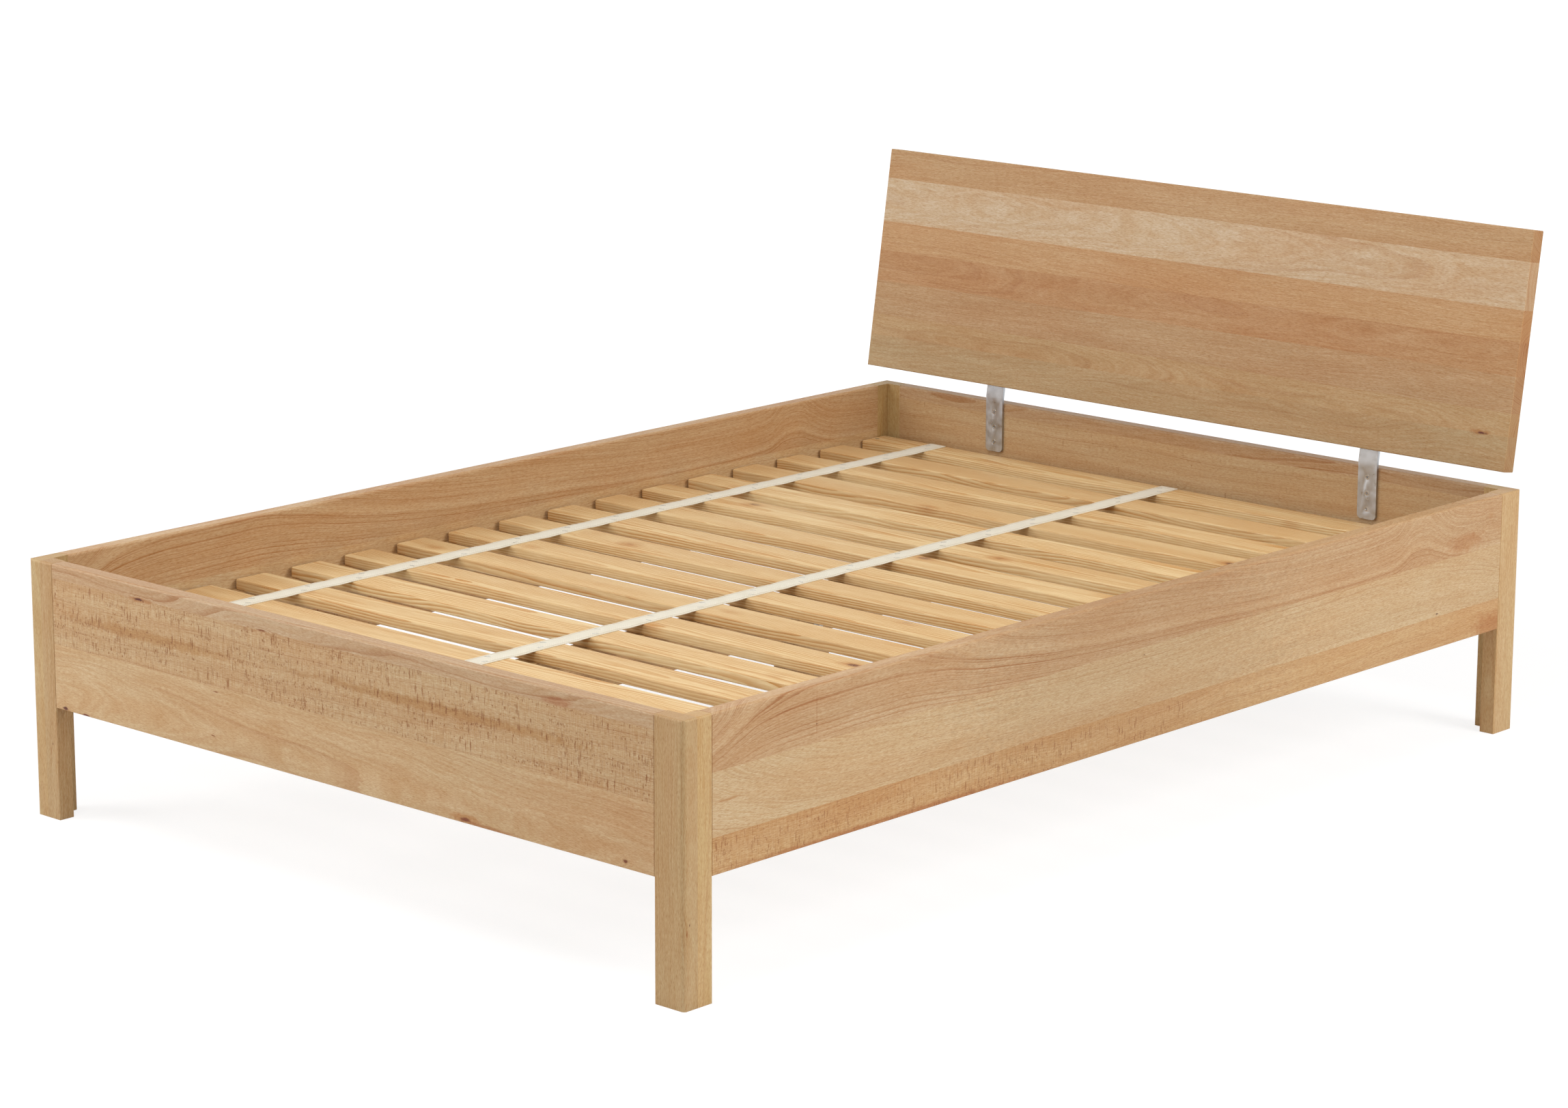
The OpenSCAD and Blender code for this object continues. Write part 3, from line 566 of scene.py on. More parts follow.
# moulded polyamide: near-black, fine spark texture, soft highlights
moulded_polyamide = finish("moulded_polyamide", "#2c2c2e", 0.0, 0.55, 0.08, 0.5, (0.5, 0.5, 0.5))
dress([n for n in nodes if n.startswith("corner_bolts") or n.startswith("centre_leg_bolt")
       or n in ("centre_leg_washer", "centre_leg_nut")], zinc_screw)
dress(["corner_inserts", "levelling_insert"], turned_brass)
dress(["levelling_pad"], moulded_polyamide)
print("hard finishes:", [m.name for m in (zinc_strip, zinc_screw, turned_brass, moulded_polyamide)])

# %% [markdown]
# ## A workshop for Geometry Nodes
#
# The base is a roll of equal slats, held at their distance by straps, stapled down and screwed
# at its ends: everything in it repeats. Geometry Nodes suit that, because a row of slats is one
# slat and a rule. Each tree below has named inputs, so its sizes can be changed in one place.
# The helper runs the tree once and keeps the result as a plain mesh.

# %% Helpers: a tree with named inputs, and a piece made from it
def new_tree(name, inputs):
    """A geometry tree with one output, and inputs given as name: kind."""
    tree = bpy.data.node_groups.new(name, "GeometryNodeTree")
    tree.interface.new_socket("Geometry", in_out="OUTPUT", socket_type="NodeSocketGeometry")
    for socket, kind in inputs.items():
        tree.interface.new_socket(socket, in_out="INPUT", socket_type="NodeSocket" + kind)
    return tree, add(tree, "NodeGroupInput").outputs


def finish_tree(tree, geometry, material):
    """Turns the instances into one mesh, gives it its material and ends the tree."""
    whole = add(tree, "GeometryNodeRealizeInstances", {"Geometry": geometry})
    clad = add(tree, "GeometryNodeSetMaterial", {"Geometry": whole, "Material": material})
    add(tree, "NodeGroupOutput", {0: clad})


def new_piece(name, mesh):
    piece = bpy.data.objects.new(name, mesh)
    bpy.context.scene.collection.objects.link(piece)
    return piece


def crisp(mesh, degrees):
    """Smooth shading, with an edge left sharp where its faces meet at more than this angle."""
    mesh.shade_smooth()
    mesh.set_sharp_from_angle(angle=math.radians(degrees))


def grown(name, tree, values, base=None, bevel=None):
    """Runs a tree once on a base mesh, eases its edges if asked, and keeps the result as a plain mesh."""
    seedling = new_piece(name + "_seedling", base or bpy.data.meshes.new(name))
    rule = seedling.modifiers.new("rule", "NODES")
    rule.node_group = tree
    names = {item.name: item.identifier for item in tree.interface.items_tree if item.in_out == "INPUT"}
    for key, value in values.items():
        rule[names[key]] = value
    if bevel:
        ease = seedling.modifiers.new("ease", "BEVEL")
        ease.width, ease.segments, ease.limit_method, ease.angle_limit = bevel, 3, "ANGLE", math.radians(50)
    bpy.context.view_layer.update()
    seen = seedling.evaluated_get(bpy.context.evaluated_depsgraph_get())
    mesh = bpy.data.meshes.new_from_object(seen)
    seedling.modifiers.clear()
    bpy.data.objects.remove(seedling)
    mesh.name = name
    crisp(mesh, 35)
    return new_piece(name, mesh)


# %% [markdown]
# ## Slats
#
# Each slat is a planed pine board with rounded corners. The outline is drawn once, filled,
# thickened and repeated along the bed. Every slat gets its number as an attribute, so the
# material can give each one its own grain, and it lies a millimetre to the left or right of its
# neighbour, as in a roll that was laid out by hand.

# %% The roll of slats
SLAT_COUNT = 17
SLAT_JUMP = 3000.0        # how far apart two slats read the same grain, in millimetres
PINE_RING_PITCH = 4.2     # pine grows fast: its rings are wide, in millimetres
PINE_TAPER = 0.012
first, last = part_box("slat_01"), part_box("slat_17")
slat_size = [first[1][i] - first[0][i] for i in range(3)]
slat_pitch = (last[0][1] - first[0][1]) / (SLAT_COUNT - 1)
slat_top = first[1][2]


def slat_tree():
    tree, given = new_tree("slat roll", {"Count": "Int", "Pitch": "Float", "Length": "Float",
                                         "Width": "Float",
                                         "Thickness": "Float", "Corner": "Float", "Top": "Float",
                                         "Shift": "Float", "Seed": "Int", "Material": "Material"})
    outline = add(tree, "GeometryNodeCurvePrimitiveQuadrilateral",
                  {"Width": given["Length"], "Height": given["Width"]})
    outline = add(tree, "GeometryNodeFilletCurve", {"Curve": outline, "Radius": given["Corner"],
                                                    "Count": 4}, mode="POLY")
    plate = add(tree, "GeometryNodeFillCurve", {"Curve": outline}, mode="NGONS").outputs[0]
    down = add(tree, "ShaderNodeMath", {0: given["Thickness"], 1: -1.0}, operation="MULTIPLY").outputs[0]
    down = add(tree, "ShaderNodeCombineXYZ", {2: down}).outputs[0]
    sides = add(tree, "GeometryNodeExtrudeMesh", {"Mesh": plate, "Offset": down,
                                                  "Individual": False}).outputs[0]
    sides = add(tree, "GeometryNodeFlipFaces", {"Mesh": sides}).outputs[0]
    both = add(tree, "GeometryNodeJoinGeometry")
    tree.links.new(plate, both.inputs[0])
    tree.links.new(sides, both.inputs[0])
    board = add(tree, "GeometryNodeMergeByDistance", {"Geometry": both, "Distance": 0.01 * MM}).outputs[0]
    steps = add(tree, "ShaderNodeMath", {0: given["Count"], 1: 1.0}, operation="SUBTRACT").outputs[0]
    reach = add(tree, "ShaderNodeMath", {0: steps, 1: given["Pitch"]}, operation="MULTIPLY").outputs[0]
    start = add(tree, "ShaderNodeMath", {0: reach, 1: -0.5}, operation="MULTIPLY").outputs[0]
    start = add(tree, "ShaderNodeCombineXYZ", {1: start, 2: given["Top"]}).outputs[0]
    step = add(tree, "ShaderNodeCombineXYZ", {1: given["Pitch"]}).outputs[0]
    row = add(tree, "GeometryNodeMeshLine", {"Count": given["Count"], "Start Location": start,
                                             "Offset": step})
    low = add(tree, "ShaderNodeMath", {0: given["Shift"], 1: -1.0}, operation="MULTIPLY").outputs[0]
    shift = add(tree, "FunctionNodeRandomValue", {2: low, 3: given["Shift"], "Seed": given["Seed"]},
                data_type="FLOAT")
    shift = add(tree, "ShaderNodeCombineXYZ", {0: shift.outputs[1]}).outputs[0]
    row = add(tree, "GeometryNodeSetPosition", {"Geometry": row, "Offset": shift})
    roll = add(tree, "GeometryNodeInstanceOnPoints", {"Points": row, "Instance": board})
    number = add(tree, "GeometryNodeInputIndex").outputs[0]
    roll = add(tree, "GeometryNodeStoreNamedAttribute", {"Geometry": roll, "Name": "slat", "Value": number},
               data_type="FLOAT", domain="INSTANCE")
    finish_tree(tree, roll.outputs[0], given["Material"])
    return tree


def planed_pine():
    """Pine: creamy, with wide bands of early wood between thin orange lines of late wood."""
    material, tree = empty_material("planed_pine")
    at = add(tree, "ShaderNodeTexCoord").outputs["Object"]
    number = add(tree, "ShaderNodeAttribute", attribute_name="slat").outputs["Fac"]
    own = add(tree, "ShaderNodeTexWhiteNoise", {"W": number}, noise_dimensions="1D").outputs
    at = add(tree, "ShaderNodeVectorMath", {0: at, "Scale": 1 / MM}, operation="SCALE")
    jump = add(tree, "ShaderNodeVectorMath", {0: own["Color"], "Scale": SLAT_JUMP}, operation="SCALE")
    spot = add(tree, "ShaderNodeVectorMath", {0: at, 1: jump})

    # each slat was sawn at another distance from its tree's heart
    parts = add(tree, "ShaderNodeSeparateXYZ", {0: at}).outputs
    middle = add(tree, "ShaderNodeMath", {0: number, 1: (SLAT_COUNT - 1) / 2}, operation="SUBTRACT")
    middle = add(tree, "ShaderNodeMath", {0: middle, 1: -slat_pitch / MM, 2: parts[1]},
                 operation="MULTIPLY_ADD")
    aside = add(tree, "ShaderNodeMapRange", {0: own[0], 3: -60.0, 4: 60.0})
    across = add(tree, "ShaderNodeMath", {0: middle, 1: aside}, operation="ADD")
    waver = lumps(tree, spot, (420, 70, 70))
    wave = add(tree, "ShaderNodeMath", {0: waver, 1: 46.0, 2: across}, operation="MULTIPLY_ADD")
    heart = add(tree, "ShaderNodeMapRange", {0: own[0], 3: -370.0, 4: -345.0})
    depth = add(tree, "ShaderNodeMath", {0: parts[2], 1: heart}, operation="ADD")
    flat = add(tree, "ShaderNodeCombineXYZ", {0: wave, 1: depth})
    radius = add(tree, "ShaderNodeVectorMath", {0: flat}, operation="LENGTH").outputs["Value"]
    ringed = add(tree, "ShaderNodeMath", {0: parts[0], 1: PINE_TAPER, 2: radius}, operation="MULTIPLY_ADD")
    waver = lumps(tree, spot, (90, 20, 20), 2.0)
    ringed = add(tree, "ShaderNodeMath", {0: waver, 1: 3.0, 2: ringed}, operation="MULTIPLY_ADD")
    years = add(tree, "ShaderNodeMath", {0: ringed, 1: 1 / PINE_RING_PITCH}, operation="MULTIPLY")
    within = add(tree, "ShaderNodeMath", {0: years}, operation="FRACT")
    late = add(tree, "ShaderNodeValToRGB", {0: within})
    ramp = late.color_ramp.elements
    ramp[0].position, ramp[1].position = 0.0, 1.0
    for element, level in ((ramp[0], 0.25), (ramp[1], 0.25), (ramp.new(0.25), 0.0), (ramp.new(0.86), 1.0)):
        element.color = (level, level, level, 1)
    patches = add(tree, "ShaderNodeMapRange", {0: lumps(tree, spot, (260, 40, 40)), 1: 0.3, 2: 0.6,
                                               3: 0.35})
    late = add(tree, "ShaderNodeMath", {0: late, 1: patches}, operation="MULTIPLY")
    # branches leave round knots, a few to a slat, each with a darker halo
    knot_at = add(tree, "ShaderNodeVectorMath", {0: spot, 1: (1 / 190, 1 / 120, 1 / 120)},
                  operation="MULTIPLY")
    knots = add(tree, "ShaderNodeTexVoronoi", {"Vector": knot_at, "Scale": 1.0})
    rare = add(tree, "ShaderNodeSeparateColor", {0: knots.outputs["Color"]})
    round_knots = []
    for outer, inner in ((0.085, 0.05), (0.2, 0.06)):
        near = add(tree, "ShaderNodeMapRange", {0: knots.outputs["Distance"], 1: outer, 2: inner})
        here = add(tree, "ShaderNodeMath", {0: rare, 1: 0.45}, operation="GREATER_THAN")
        round_knots.append(add(tree, "ShaderNodeMath", {0: near, 1: here}, operation="MULTIPLY"))
    knot, halo = round_knots
    fibres = add(tree, "ShaderNodeMapRange", {0: lumps(tree, spot, (30, 1.4, 1.4), 2.0), 1: 0.3, 2: 0.7})

    tone = add(tree, "ShaderNodeMix", {"Factor": own[0], 6: colour("#e9d3a6"), 7: colour("#dcc192")},
               data_type="RGBA").outputs[2]
    tone = stain_and_shade(tree, tone, [("#d8b07c", late), ("#f1e6d6", fibres), ("#d9b487", halo), ("#8a5a34", knot)])
    rough = add(tree, "ShaderNodeMath", {0: fibres, 1: 0.12, 2: 0.52}, operation="MULTIPLY_ADD")
    bump = add(tree, "ShaderNodeBump", {"Strength": 0.3, "Distance": 0.1 * MM, "Height": fibres})
    wood = add(tree, "ShaderNodeBsdfPrincipled", {"Base Color": tone, "Roughness": rough, "Normal": bump,
                                                  "Specular IOR Level": 0.35})
    add(tree, "ShaderNodeOutputMaterial", {0: wood})
    return material


slat_roll = grown("slat_roll", slat_tree(),
                  {"Count": SLAT_COUNT, "Pitch": slat_pitch, "Length": slat_size[0], "Width": slat_size[1],
                   "Thickness": slat_size[2], "Corner": 6 * MM, "Top": slat_top, "Shift": 1.2 * MM,
                   "Seed": 4,
                   "Material": planed_pine()}, bevel=2.5 * MM)
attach(slat_roll, "frame")
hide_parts(*[f"slat_{i:02d}" for i in range(1, 18)])
print("slats:", len(slat_roll.data.polygons), "faces, box", [round(v, 3) for v in slat_roll.dimensions])

# %% [markdown]
# ## Straps
#
# Cotton webbing lies flat on every slat and sinks a little between two. A strap is a ribbon
# swept along a line, and the line dips where nothing carries it.

# %% Woven straps
STRAP_POINTS = 401        # points along a strap, about one every 5 mm
STRAP_SAG = 0.7 * MM      # how far it sinks between two slats
RIB_PITCH = 2.4           # the herringbone's ribs, in millimetres
THREAD_WIDTH = 1.2        # its threads: real ones are finer, these are drawn wider so that they show


def strap_tree():
    tree, given = new_tree("strap", {"Length": "Float", "Width": "Float", "Thickness": "Float",
                                     "Pitch": "Float",
                                     "Slat": "Float", "Sag": "Float", "X": "Float", "Z": "Float",
                                     "Material": "Material"})

    half = add(tree, "ShaderNodeMath", {0: given["Length"], 1: 0.5}, operation="MULTIPLY")
    back = add(tree, "ShaderNodeMath", {0: half, 1: -1.0}, operation="MULTIPLY")
    start = add(tree, "ShaderNodeCombineXYZ", {0: given["X"], 1: back, 2: given["Z"]})
    end = add(tree, "ShaderNodeCombineXYZ", {0: given["X"], 1: half, 2: given["Z"]})
    line = add(tree, "GeometryNodeCurvePrimitiveLine", {"Start": start, "End": end})
    line = add(tree, "GeometryNodeResampleCurve", {"Curve": line, "Count": STRAP_POINTS})
    place = add(tree, "ShaderNodeSeparateXYZ", {0: add(tree, "GeometryNodeInputPosition")}).outputs
    # how far each point is from the middle of the nearest slat
    off = add(tree, "ShaderNodeMath", {0: place[1], 1: given["Pitch"]}, operation="DIVIDE")
    off = add(tree, "ShaderNodeMath", {0: off, 1: 0.5}, operation="ADD")
    off = add(tree, "ShaderNodeMath", {0: off}, operation="FRACT")
    off = add(tree, "ShaderNodeMath", {0: off, 1: 0.5}, operation="SUBTRACT")
    off = add(tree, "ShaderNodeMath", {0: off}, operation="ABSOLUTE")
    off = add(tree, "ShaderNodeMath", {0: off, 1: given["Pitch"]}, operation="MULTIPLY")
    slat_edge = add(tree, "ShaderNodeMath", {0: given["Slat"], 1: 0.5}, operation="MULTIPLY")
    mid_gap = add(tree, "ShaderNodeMath", {0: given["Pitch"], 1: 0.5}, operation="MULTIPLY")
    # 0 over a slat, 1 in the middle of a gap
    bare = add(tree, "ShaderNodeMapRange", {0: off, 1: slat_edge, 2: mid_gap},
               interpolation_type="SMOOTHSTEP")
    down = add(tree, "ShaderNodeMath", {0: given["Sag"], 1: -1.0}, operation="MULTIPLY")
    dip = add(tree, "ShaderNodeMath", {0: bare, 1: down}, operation="MULTIPLY")
    dip = add(tree, "ShaderNodeCombineXYZ", {2: dip})
    line = add(tree, "GeometryNodeSetPosition", {"Geometry": line, "Offset": dip})
    line = add(tree, "GeometryNodeSetCurveNormal", {"Curve": line}, mode="Z_UP")
    profile = add(tree, "GeometryNodeCurvePrimitiveQuadrilateral", {"Width": given["Width"],
                                                                    "Height": given["Thickness"]})
    corner = add(tree, "ShaderNodeMath", {0: given["Thickness"], 1: 0.45}, operation="MULTIPLY")
    profile = add(tree, "GeometryNodeFilletCurve", {"Curve": profile, "Count": 2, "Radius": corner},
                  mode="POLY")
    ribbon = add(tree, "GeometryNodeCurveToMesh", {"Curve": line, "Profile Curve": profile,
                                                   "Fill Caps": True})
    finish_tree(tree, ribbon, given["Material"])
    return tree


def woven_cotton(middle_x):
    """Cotton webbing in a herringbone: slanted ribs that meet in the middle, coarse so that they show."""
    material, tree = empty_material("woven_cotton_webbing")
    at = add(tree, "ShaderNodeTexCoord").outputs["Object"]
    at = add(tree, "ShaderNodeVectorMath", {0: at, "Scale": 1 / MM}, operation="SCALE")
    parts = add(tree, "ShaderNodeSeparateXYZ", {0: at}).outputs

    def ribs(place, pitch):
        """Rounded ribs at a pitch in millimetres, from 0 in a groove to 1 on a crest."""
        turn = add(tree, "ShaderNodeMath", {0: place, 1: math.tau / pitch}, operation="MULTIPLY")
        turn = add(tree, "ShaderNodeMath", {0: turn}, operation="SINE")
        return add(tree, "ShaderNodeMath", {0: turn, 1: 0.5, 2: 0.5}, operation="MULTIPLY_ADD")

    side = add(tree, "ShaderNodeMath", {0: parts[0], 1: middle_x / MM}, operation="SUBTRACT")
    side = add(tree, "ShaderNodeMath", {0: side}, operation="ABSOLUTE")
    slant = add(tree, "ShaderNodeMath", {0: parts[1], 1: side}, operation="ADD")
    rib = ribs(slant, RIB_PITCH)
    thread = ribs(parts[0], THREAD_WIDTH)
    weave = add(tree, "ShaderNodeMath", {0: thread, 1: 0.4, 2: rib}, operation="MULTIPLY_ADD")
    soil = add(tree, "ShaderNodeTexNoise", {"Vector": at, "Scale": 1 / 30, "Detail": 3.0})
    # a tan marker thread near each edge, as such straps have
    edge_thread = add(tree, "ShaderNodeMath", {0: side, 1: 14.5, 2: 0.9}, operation="COMPARE")
    tone = add(tree, "ShaderNodeMix", {"Factor": soil, 6: colour("#efe9da"), 7: colour("#e2d9c3")},
               data_type="RGBA").outputs[2]
    dark = add(tree, "ShaderNodeMapRange", {0: weave, 2: 0.9, 3: 0.45, 4: 0.0})
    tone = add(tree, "ShaderNodeMix", {"Factor": dark, 6: tone, 7: colour("#b9ab8d")},
               data_type="RGBA").outputs[2]
    faint = add(tree, "ShaderNodeMath", {0: edge_thread, 1: 0.55}, operation="MULTIPLY")
    tone = add(tree, "ShaderNodeMix", {"Factor": faint, 6: tone, 7: colour("#b39b72")},
               data_type="RGBA").outputs[2]
    bump = add(tree, "ShaderNodeBump", {"Strength": 0.8, "Distance": 0.3 * MM, "Height": weave})
    cloth = add(tree, "ShaderNodeBsdfPrincipled", {"Base Color": tone, "Roughness": 0.9, "Normal": bump,
                                                   "Sheen Weight": 0.15, "Specular IOR Level": 0.2})
    add(tree, "ShaderNodeOutputMaterial", {0: cloth})
    return material


straps = {}
for side in ("left", "centre", "right"):
    low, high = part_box("strap_" + side)
    middle = (low + high) / 2
    strap = grown("webbing_strap_" + side, strap_tree(),
                  {"Length": high[1] - low[1], "Width": high[0] - low[0], "Thickness": high[2] - low[2],
                   "Pitch": slat_pitch, "Slat": slat_size[1], "Sag": STRAP_SAG, "X": middle[0],
                   "Z": middle[2],
                   "Material": woven_cotton(middle[0])})
    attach(strap, "frame")
    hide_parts("strap_" + side)
    straps[side] = middle
print("straps at x =", {side: round(m[0], 3) for side, m in straps.items()})

# %% [markdown]
# ## Screws and staples
#
# A screw is turned on a lathe, so its mesh is one outline spun round, and the cross in its head
# is pressed in afterwards: here the crown of the head is a ring of sixteen points that is
# joined to a cross of sixteen points and then sunk. The places and directions of the screws are
# measured from the frame's own plain screws, and a tree puts a finished screw on each.

# %% Where the screws are
import numpy as np


def solids(name):
    """The separate solids of one node, each as an array of its points."""
    mesh = bmesh.new()
    mesh.from_mesh(nodes[name].data)
    bmesh.ops.remove_doubles(mesh, verts=mesh.verts, dist=1e-5)
    found, seen = [], set()
    for start in mesh.verts:
        if start in seen:
            continue
        group, queue = [], [start]
        seen.add(start)
        while queue:
            vert = queue.pop()
            group.append(vert.co[:])
            for edge in vert.link_edges:
                other = edge.other_vert(vert)
                if other not in seen:
                    seen.add(other)
                    queue.append(other)
        found.append(np.array(group))
    mesh.free()
    return found


def screw_places(name):
    """For each screw of a node: the top of its head, and the way that it faces."""
    places = []
    for points in solids(name):
        centre = points.mean(axis=0)
        axis = np.linalg.svd(points - centre)[2][0]
        reach = (points - centre) @ axis
        girth = np.linalg.norm((points - centre) - np.outer(reach, axis), axis=1)
        if reach[girth.argmax()] < 0:
            axis, reach = -axis, -reach
        places.append((centre + axis * reach.max(), axis))
    return places


screw_nodes = ("slat_screws", "cleat_screws", "headboard_screws", "hanger_screws")
found_screws = {name: screw_places(name) for name in screw_nodes}
print("screws:", {name: len(places) for name, places in found_screws.items()})

# %% A cross-head screw
def cross_ring(bm, arm, half, z):
    """Sixteen points round a cross, in step with sixteen round a circle."""
    corner = math.atan2(half, arm)
    points = []
    for quarter in range(4):
        for angle, reach in ((0, arm), (corner, math.hypot(arm, half)),
                             (math.pi / 4, math.hypot(half, half)),
                             (math.pi / 2 - corner, math.hypot(arm, half))):
            a = quarter * math.pi / 2 + angle
            points.append(bm.verts.new((reach * math.cos(a), reach * math.sin(a), z)))
    return points


def round_ring(bm, radius, z):
    angles = [quarter * 90 + step for quarter in range(4) for step in (0, 20, 45, 70)]
    return [bm.verts.new((radius * math.cos(math.radians(a)), radius * math.sin(math.radians(a)),
                          z)) for a in angles]


def join_rings(bm, above, below):
    for i in range(len(above)):
        j = (i + 1) % len(above)
        bm.faces.new((above[i], above[j], below[j], below[i]))


def closed_mesh(bm, name):
    """Turns all faces outwards and keeps the result as a mesh."""
    bmesh.ops.recalc_face_normals(bm, faces=bm.faces)
    mesh = bpy.data.meshes.new(name)
    bm.to_mesh(mesh)
    bm.free()
    return mesh


def cross_head_screw(name, outline, arm, half, crown):
    """A screw whose outline is given as radius and height in millimetres, from the head's rim to the tip."""
    bm = bmesh.new()
    rings = [round_ring(bm, r * MM, z * MM) for r, z in outline]
    mouth = cross_ring(bm, arm * MM, half * MM, crown * MM)
    floor = cross_ring(bm, 0.55 * arm * MM, 0.5 * half * MM, (crown - 1.8) * MM)
    join_rings(bm, mouth, rings[0])
    join_rings(bm, floor, mouth)
    bm.faces.new(floor)
    for above, below in zip(rings, rings[1:]):
        join_rings(bm, above, below)
    bm.faces.new(reversed(rings[-1]))
    return new_piece(name, closed_mesh(bm, name))


def screw_outline(d, length, pan):
    """Head, neck, a ridged shank that stands for the thread, and the point."""
    head = [(d * 0.45, d * 0.55), (d * 0.8, d * 0.42), (d, d * 0.12), (d, 0.0)] if pan else \
        [(d * 0.62, 0.0), (d * 0.97, 0.0), (d, -0.15)]
    neck = -0.1 if pan else -d / 2
    ridges = [(d / 2 * (0.98 if i % 2 else 0.8),
               neck - 2.0 - i * 1.1) for i in range(int((length + neck - 6) / 1.1))]
    return head + [(d / 2 * 0.9, neck)] + ridges + [(d * 0.12, -length + 0.4)]


def screw_tree():
    tree, given = new_tree("driven screws", {"Places": "Geometry", "Screw": "Object", "Seed": "Int",
                                             "Material": "Material"})
    facing = add(tree, "GeometryNodeInputNamedAttribute", {"Name": "facing"},
                 data_type="FLOAT_VECTOR").outputs[0]
    turned = add(tree, "FunctionNodeAlignRotationToVector", {"Vector": facing}, axis="Z").outputs[0]
    spin = add(tree, "FunctionNodeRandomValue", {2: 0.0, 3: 1.5, "Seed": given["Seed"]},
               data_type="FLOAT").outputs[1]
    spin = add(tree, "FunctionNodeAxisAngleToRotation", {"Axis": (0, 0, 1), "Angle": spin}).outputs[0]
    both = add(tree, "FunctionNodeRotateRotation", {0: turned, 1: spin}, rotation_space="LOCAL").outputs[0]
    screw = add(tree, "GeometryNodeObjectInfo", {"Object": given["Screw"]}).outputs["Geometry"]
    set_in = add(tree, "GeometryNodeInstanceOnPoints", {"Points": given["Places"], "Instance": screw,
                                                        "Rotation": both})
    finish_tree(tree, set_in.outputs[0], given["Material"])
    return tree


def point_mesh(name, places, facings):
    mesh = bpy.data.meshes.new(name)
    mesh.from_pydata([tuple(p) for p in places], [], [])
    facing = mesh.attributes.new("facing", "FLOAT_VECTOR", "POINT")
    for i, way in enumerate(facings):
        facing.data[i].vector = way
    return mesh


# %% Drive the screws in
screw_kinds = {"slat_screws": (4, 40, False), "cleat_screws": (5, 45, False),
               "headboard_screws": (5, 24, False), "hanger_screws": (4.5, 18, True)}
driving = screw_tree()
for number, (node_name, (d, length, pan)) in enumerate(screw_kinds.items()):
    crown = d * 0.55 if pan else 0.0
    pattern = cross_head_screw("pattern_" + node_name, screw_outline(d, length, pan), 0.52 * d, 0.13 * d,
                               crown)
    places = [p - (crown * MM) * axis for p, axis in found_screws[node_name]]
    base = point_mesh("places_" + node_name, places, [axis for _, axis in found_screws[node_name]])
    piece = grown("cross_head_" + node_name, driving, {"Screw": pattern, "Seed": number,
                                                       "Material": zinc_screw}, base)
    bpy.data.objects.remove(pattern)
    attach(piece, "frame")
    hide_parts(node_name)
    print(piece.name, len(piece.data.polygons), "faces, box", [round(v, 3) for v in piece.dimensions])

# %% [markdown]
# ## The levelling spindle
#
# Its thread is a true helix. Every ring of points round the spindle takes its radii from one
# rule, which rises and falls once in a pitch and starts a little later with every step round.

# %% The threaded spindle
THREAD_PITCH = 1.5
THREAD_DEPTH = 0.8
STEPS_ROUND = 32


def thread_ring(bm, z, radius, start, end):
    """One ring of points at height z; the thread fades in and out at its two ends."""
    fade = max(0.0, min(1.0, (z - start) / THREAD_PITCH, (end - z) / THREAD_PITCH))
    ring = []
    for step in range(STEPS_ROUND):
        share = step / STEPS_ROUND
        rise = 2 * abs((z / THREAD_PITCH - share) % 1.0 - 0.5)
        reach = (radius - fade * THREAD_DEPTH * rise) * MM
        ring.append(bm.verts.new((reach * math.cos(share * math.tau), reach * math.sin(share * math.tau),
                                  z * MM)))
    return ring


def threaded_spindle(radius, low, high, collar_low, collar_high, collar_radius):
    """A plain end, a six-sided collar and a thread, all heights and radii in millimetres."""
    bm = bmesh.new()
    start, end = collar_high + 0.5, high - 0.5
    steps = int((end - start) * 6 / THREAD_PITCH)
    heights = [low, collar_low] + [start + i * THREAD_PITCH / 6 for i in range(steps)]
    rings = [thread_ring(bm, z, radius, start, end) for z in heights]
    rings.append(thread_ring(bm, high, radius - THREAD_DEPTH, start, end))
    for below, above in zip(rings, rings[1:]):
        join_rings(bm, above, below)
    bm.faces.new(reversed(rings[0]))
    bm.faces.new(rings[-1])
    flats = []
    for z, reach in ((collar_low, 0.9), (collar_low + 0.6, 1.0), (collar_high - 0.6, 1.0),
                     (collar_high, 0.9)):
        flats.append([bm.verts.new((reach * collar_radius * MM * math.cos(i * math.tau / 6),
                                    reach * collar_radius * MM * math.sin(i * math.tau / 6),
                                    z * MM)) for i in range(6)])
    for below, above in zip(flats, flats[1:]):
        join_rings(bm, above, below)
    bm.faces.new(reversed(flats[0]))
    bm.faces.new(flats[-1])
    mesh = closed_mesh(bm, "threaded_spindle")
    mesh.materials.append(zinc_screw)
    crisp(mesh, 35)
    return new_piece("threaded_spindle", mesh)


spindle_low, spindle_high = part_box("levelling_spindle")
spindle = threaded_spindle(radius=5.0, low=spindle_low[2] / MM, high=spindle_high[2] / MM,
                           collar_low=12.0, collar_high=18.0, collar_radius=9.8)
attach(spindle, "levelling_foot")
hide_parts("levelling_spindle")
print("spindle:", len(spindle.data.polygons), "faces, box", [round(v, 3) for v in spindle.dimensions])

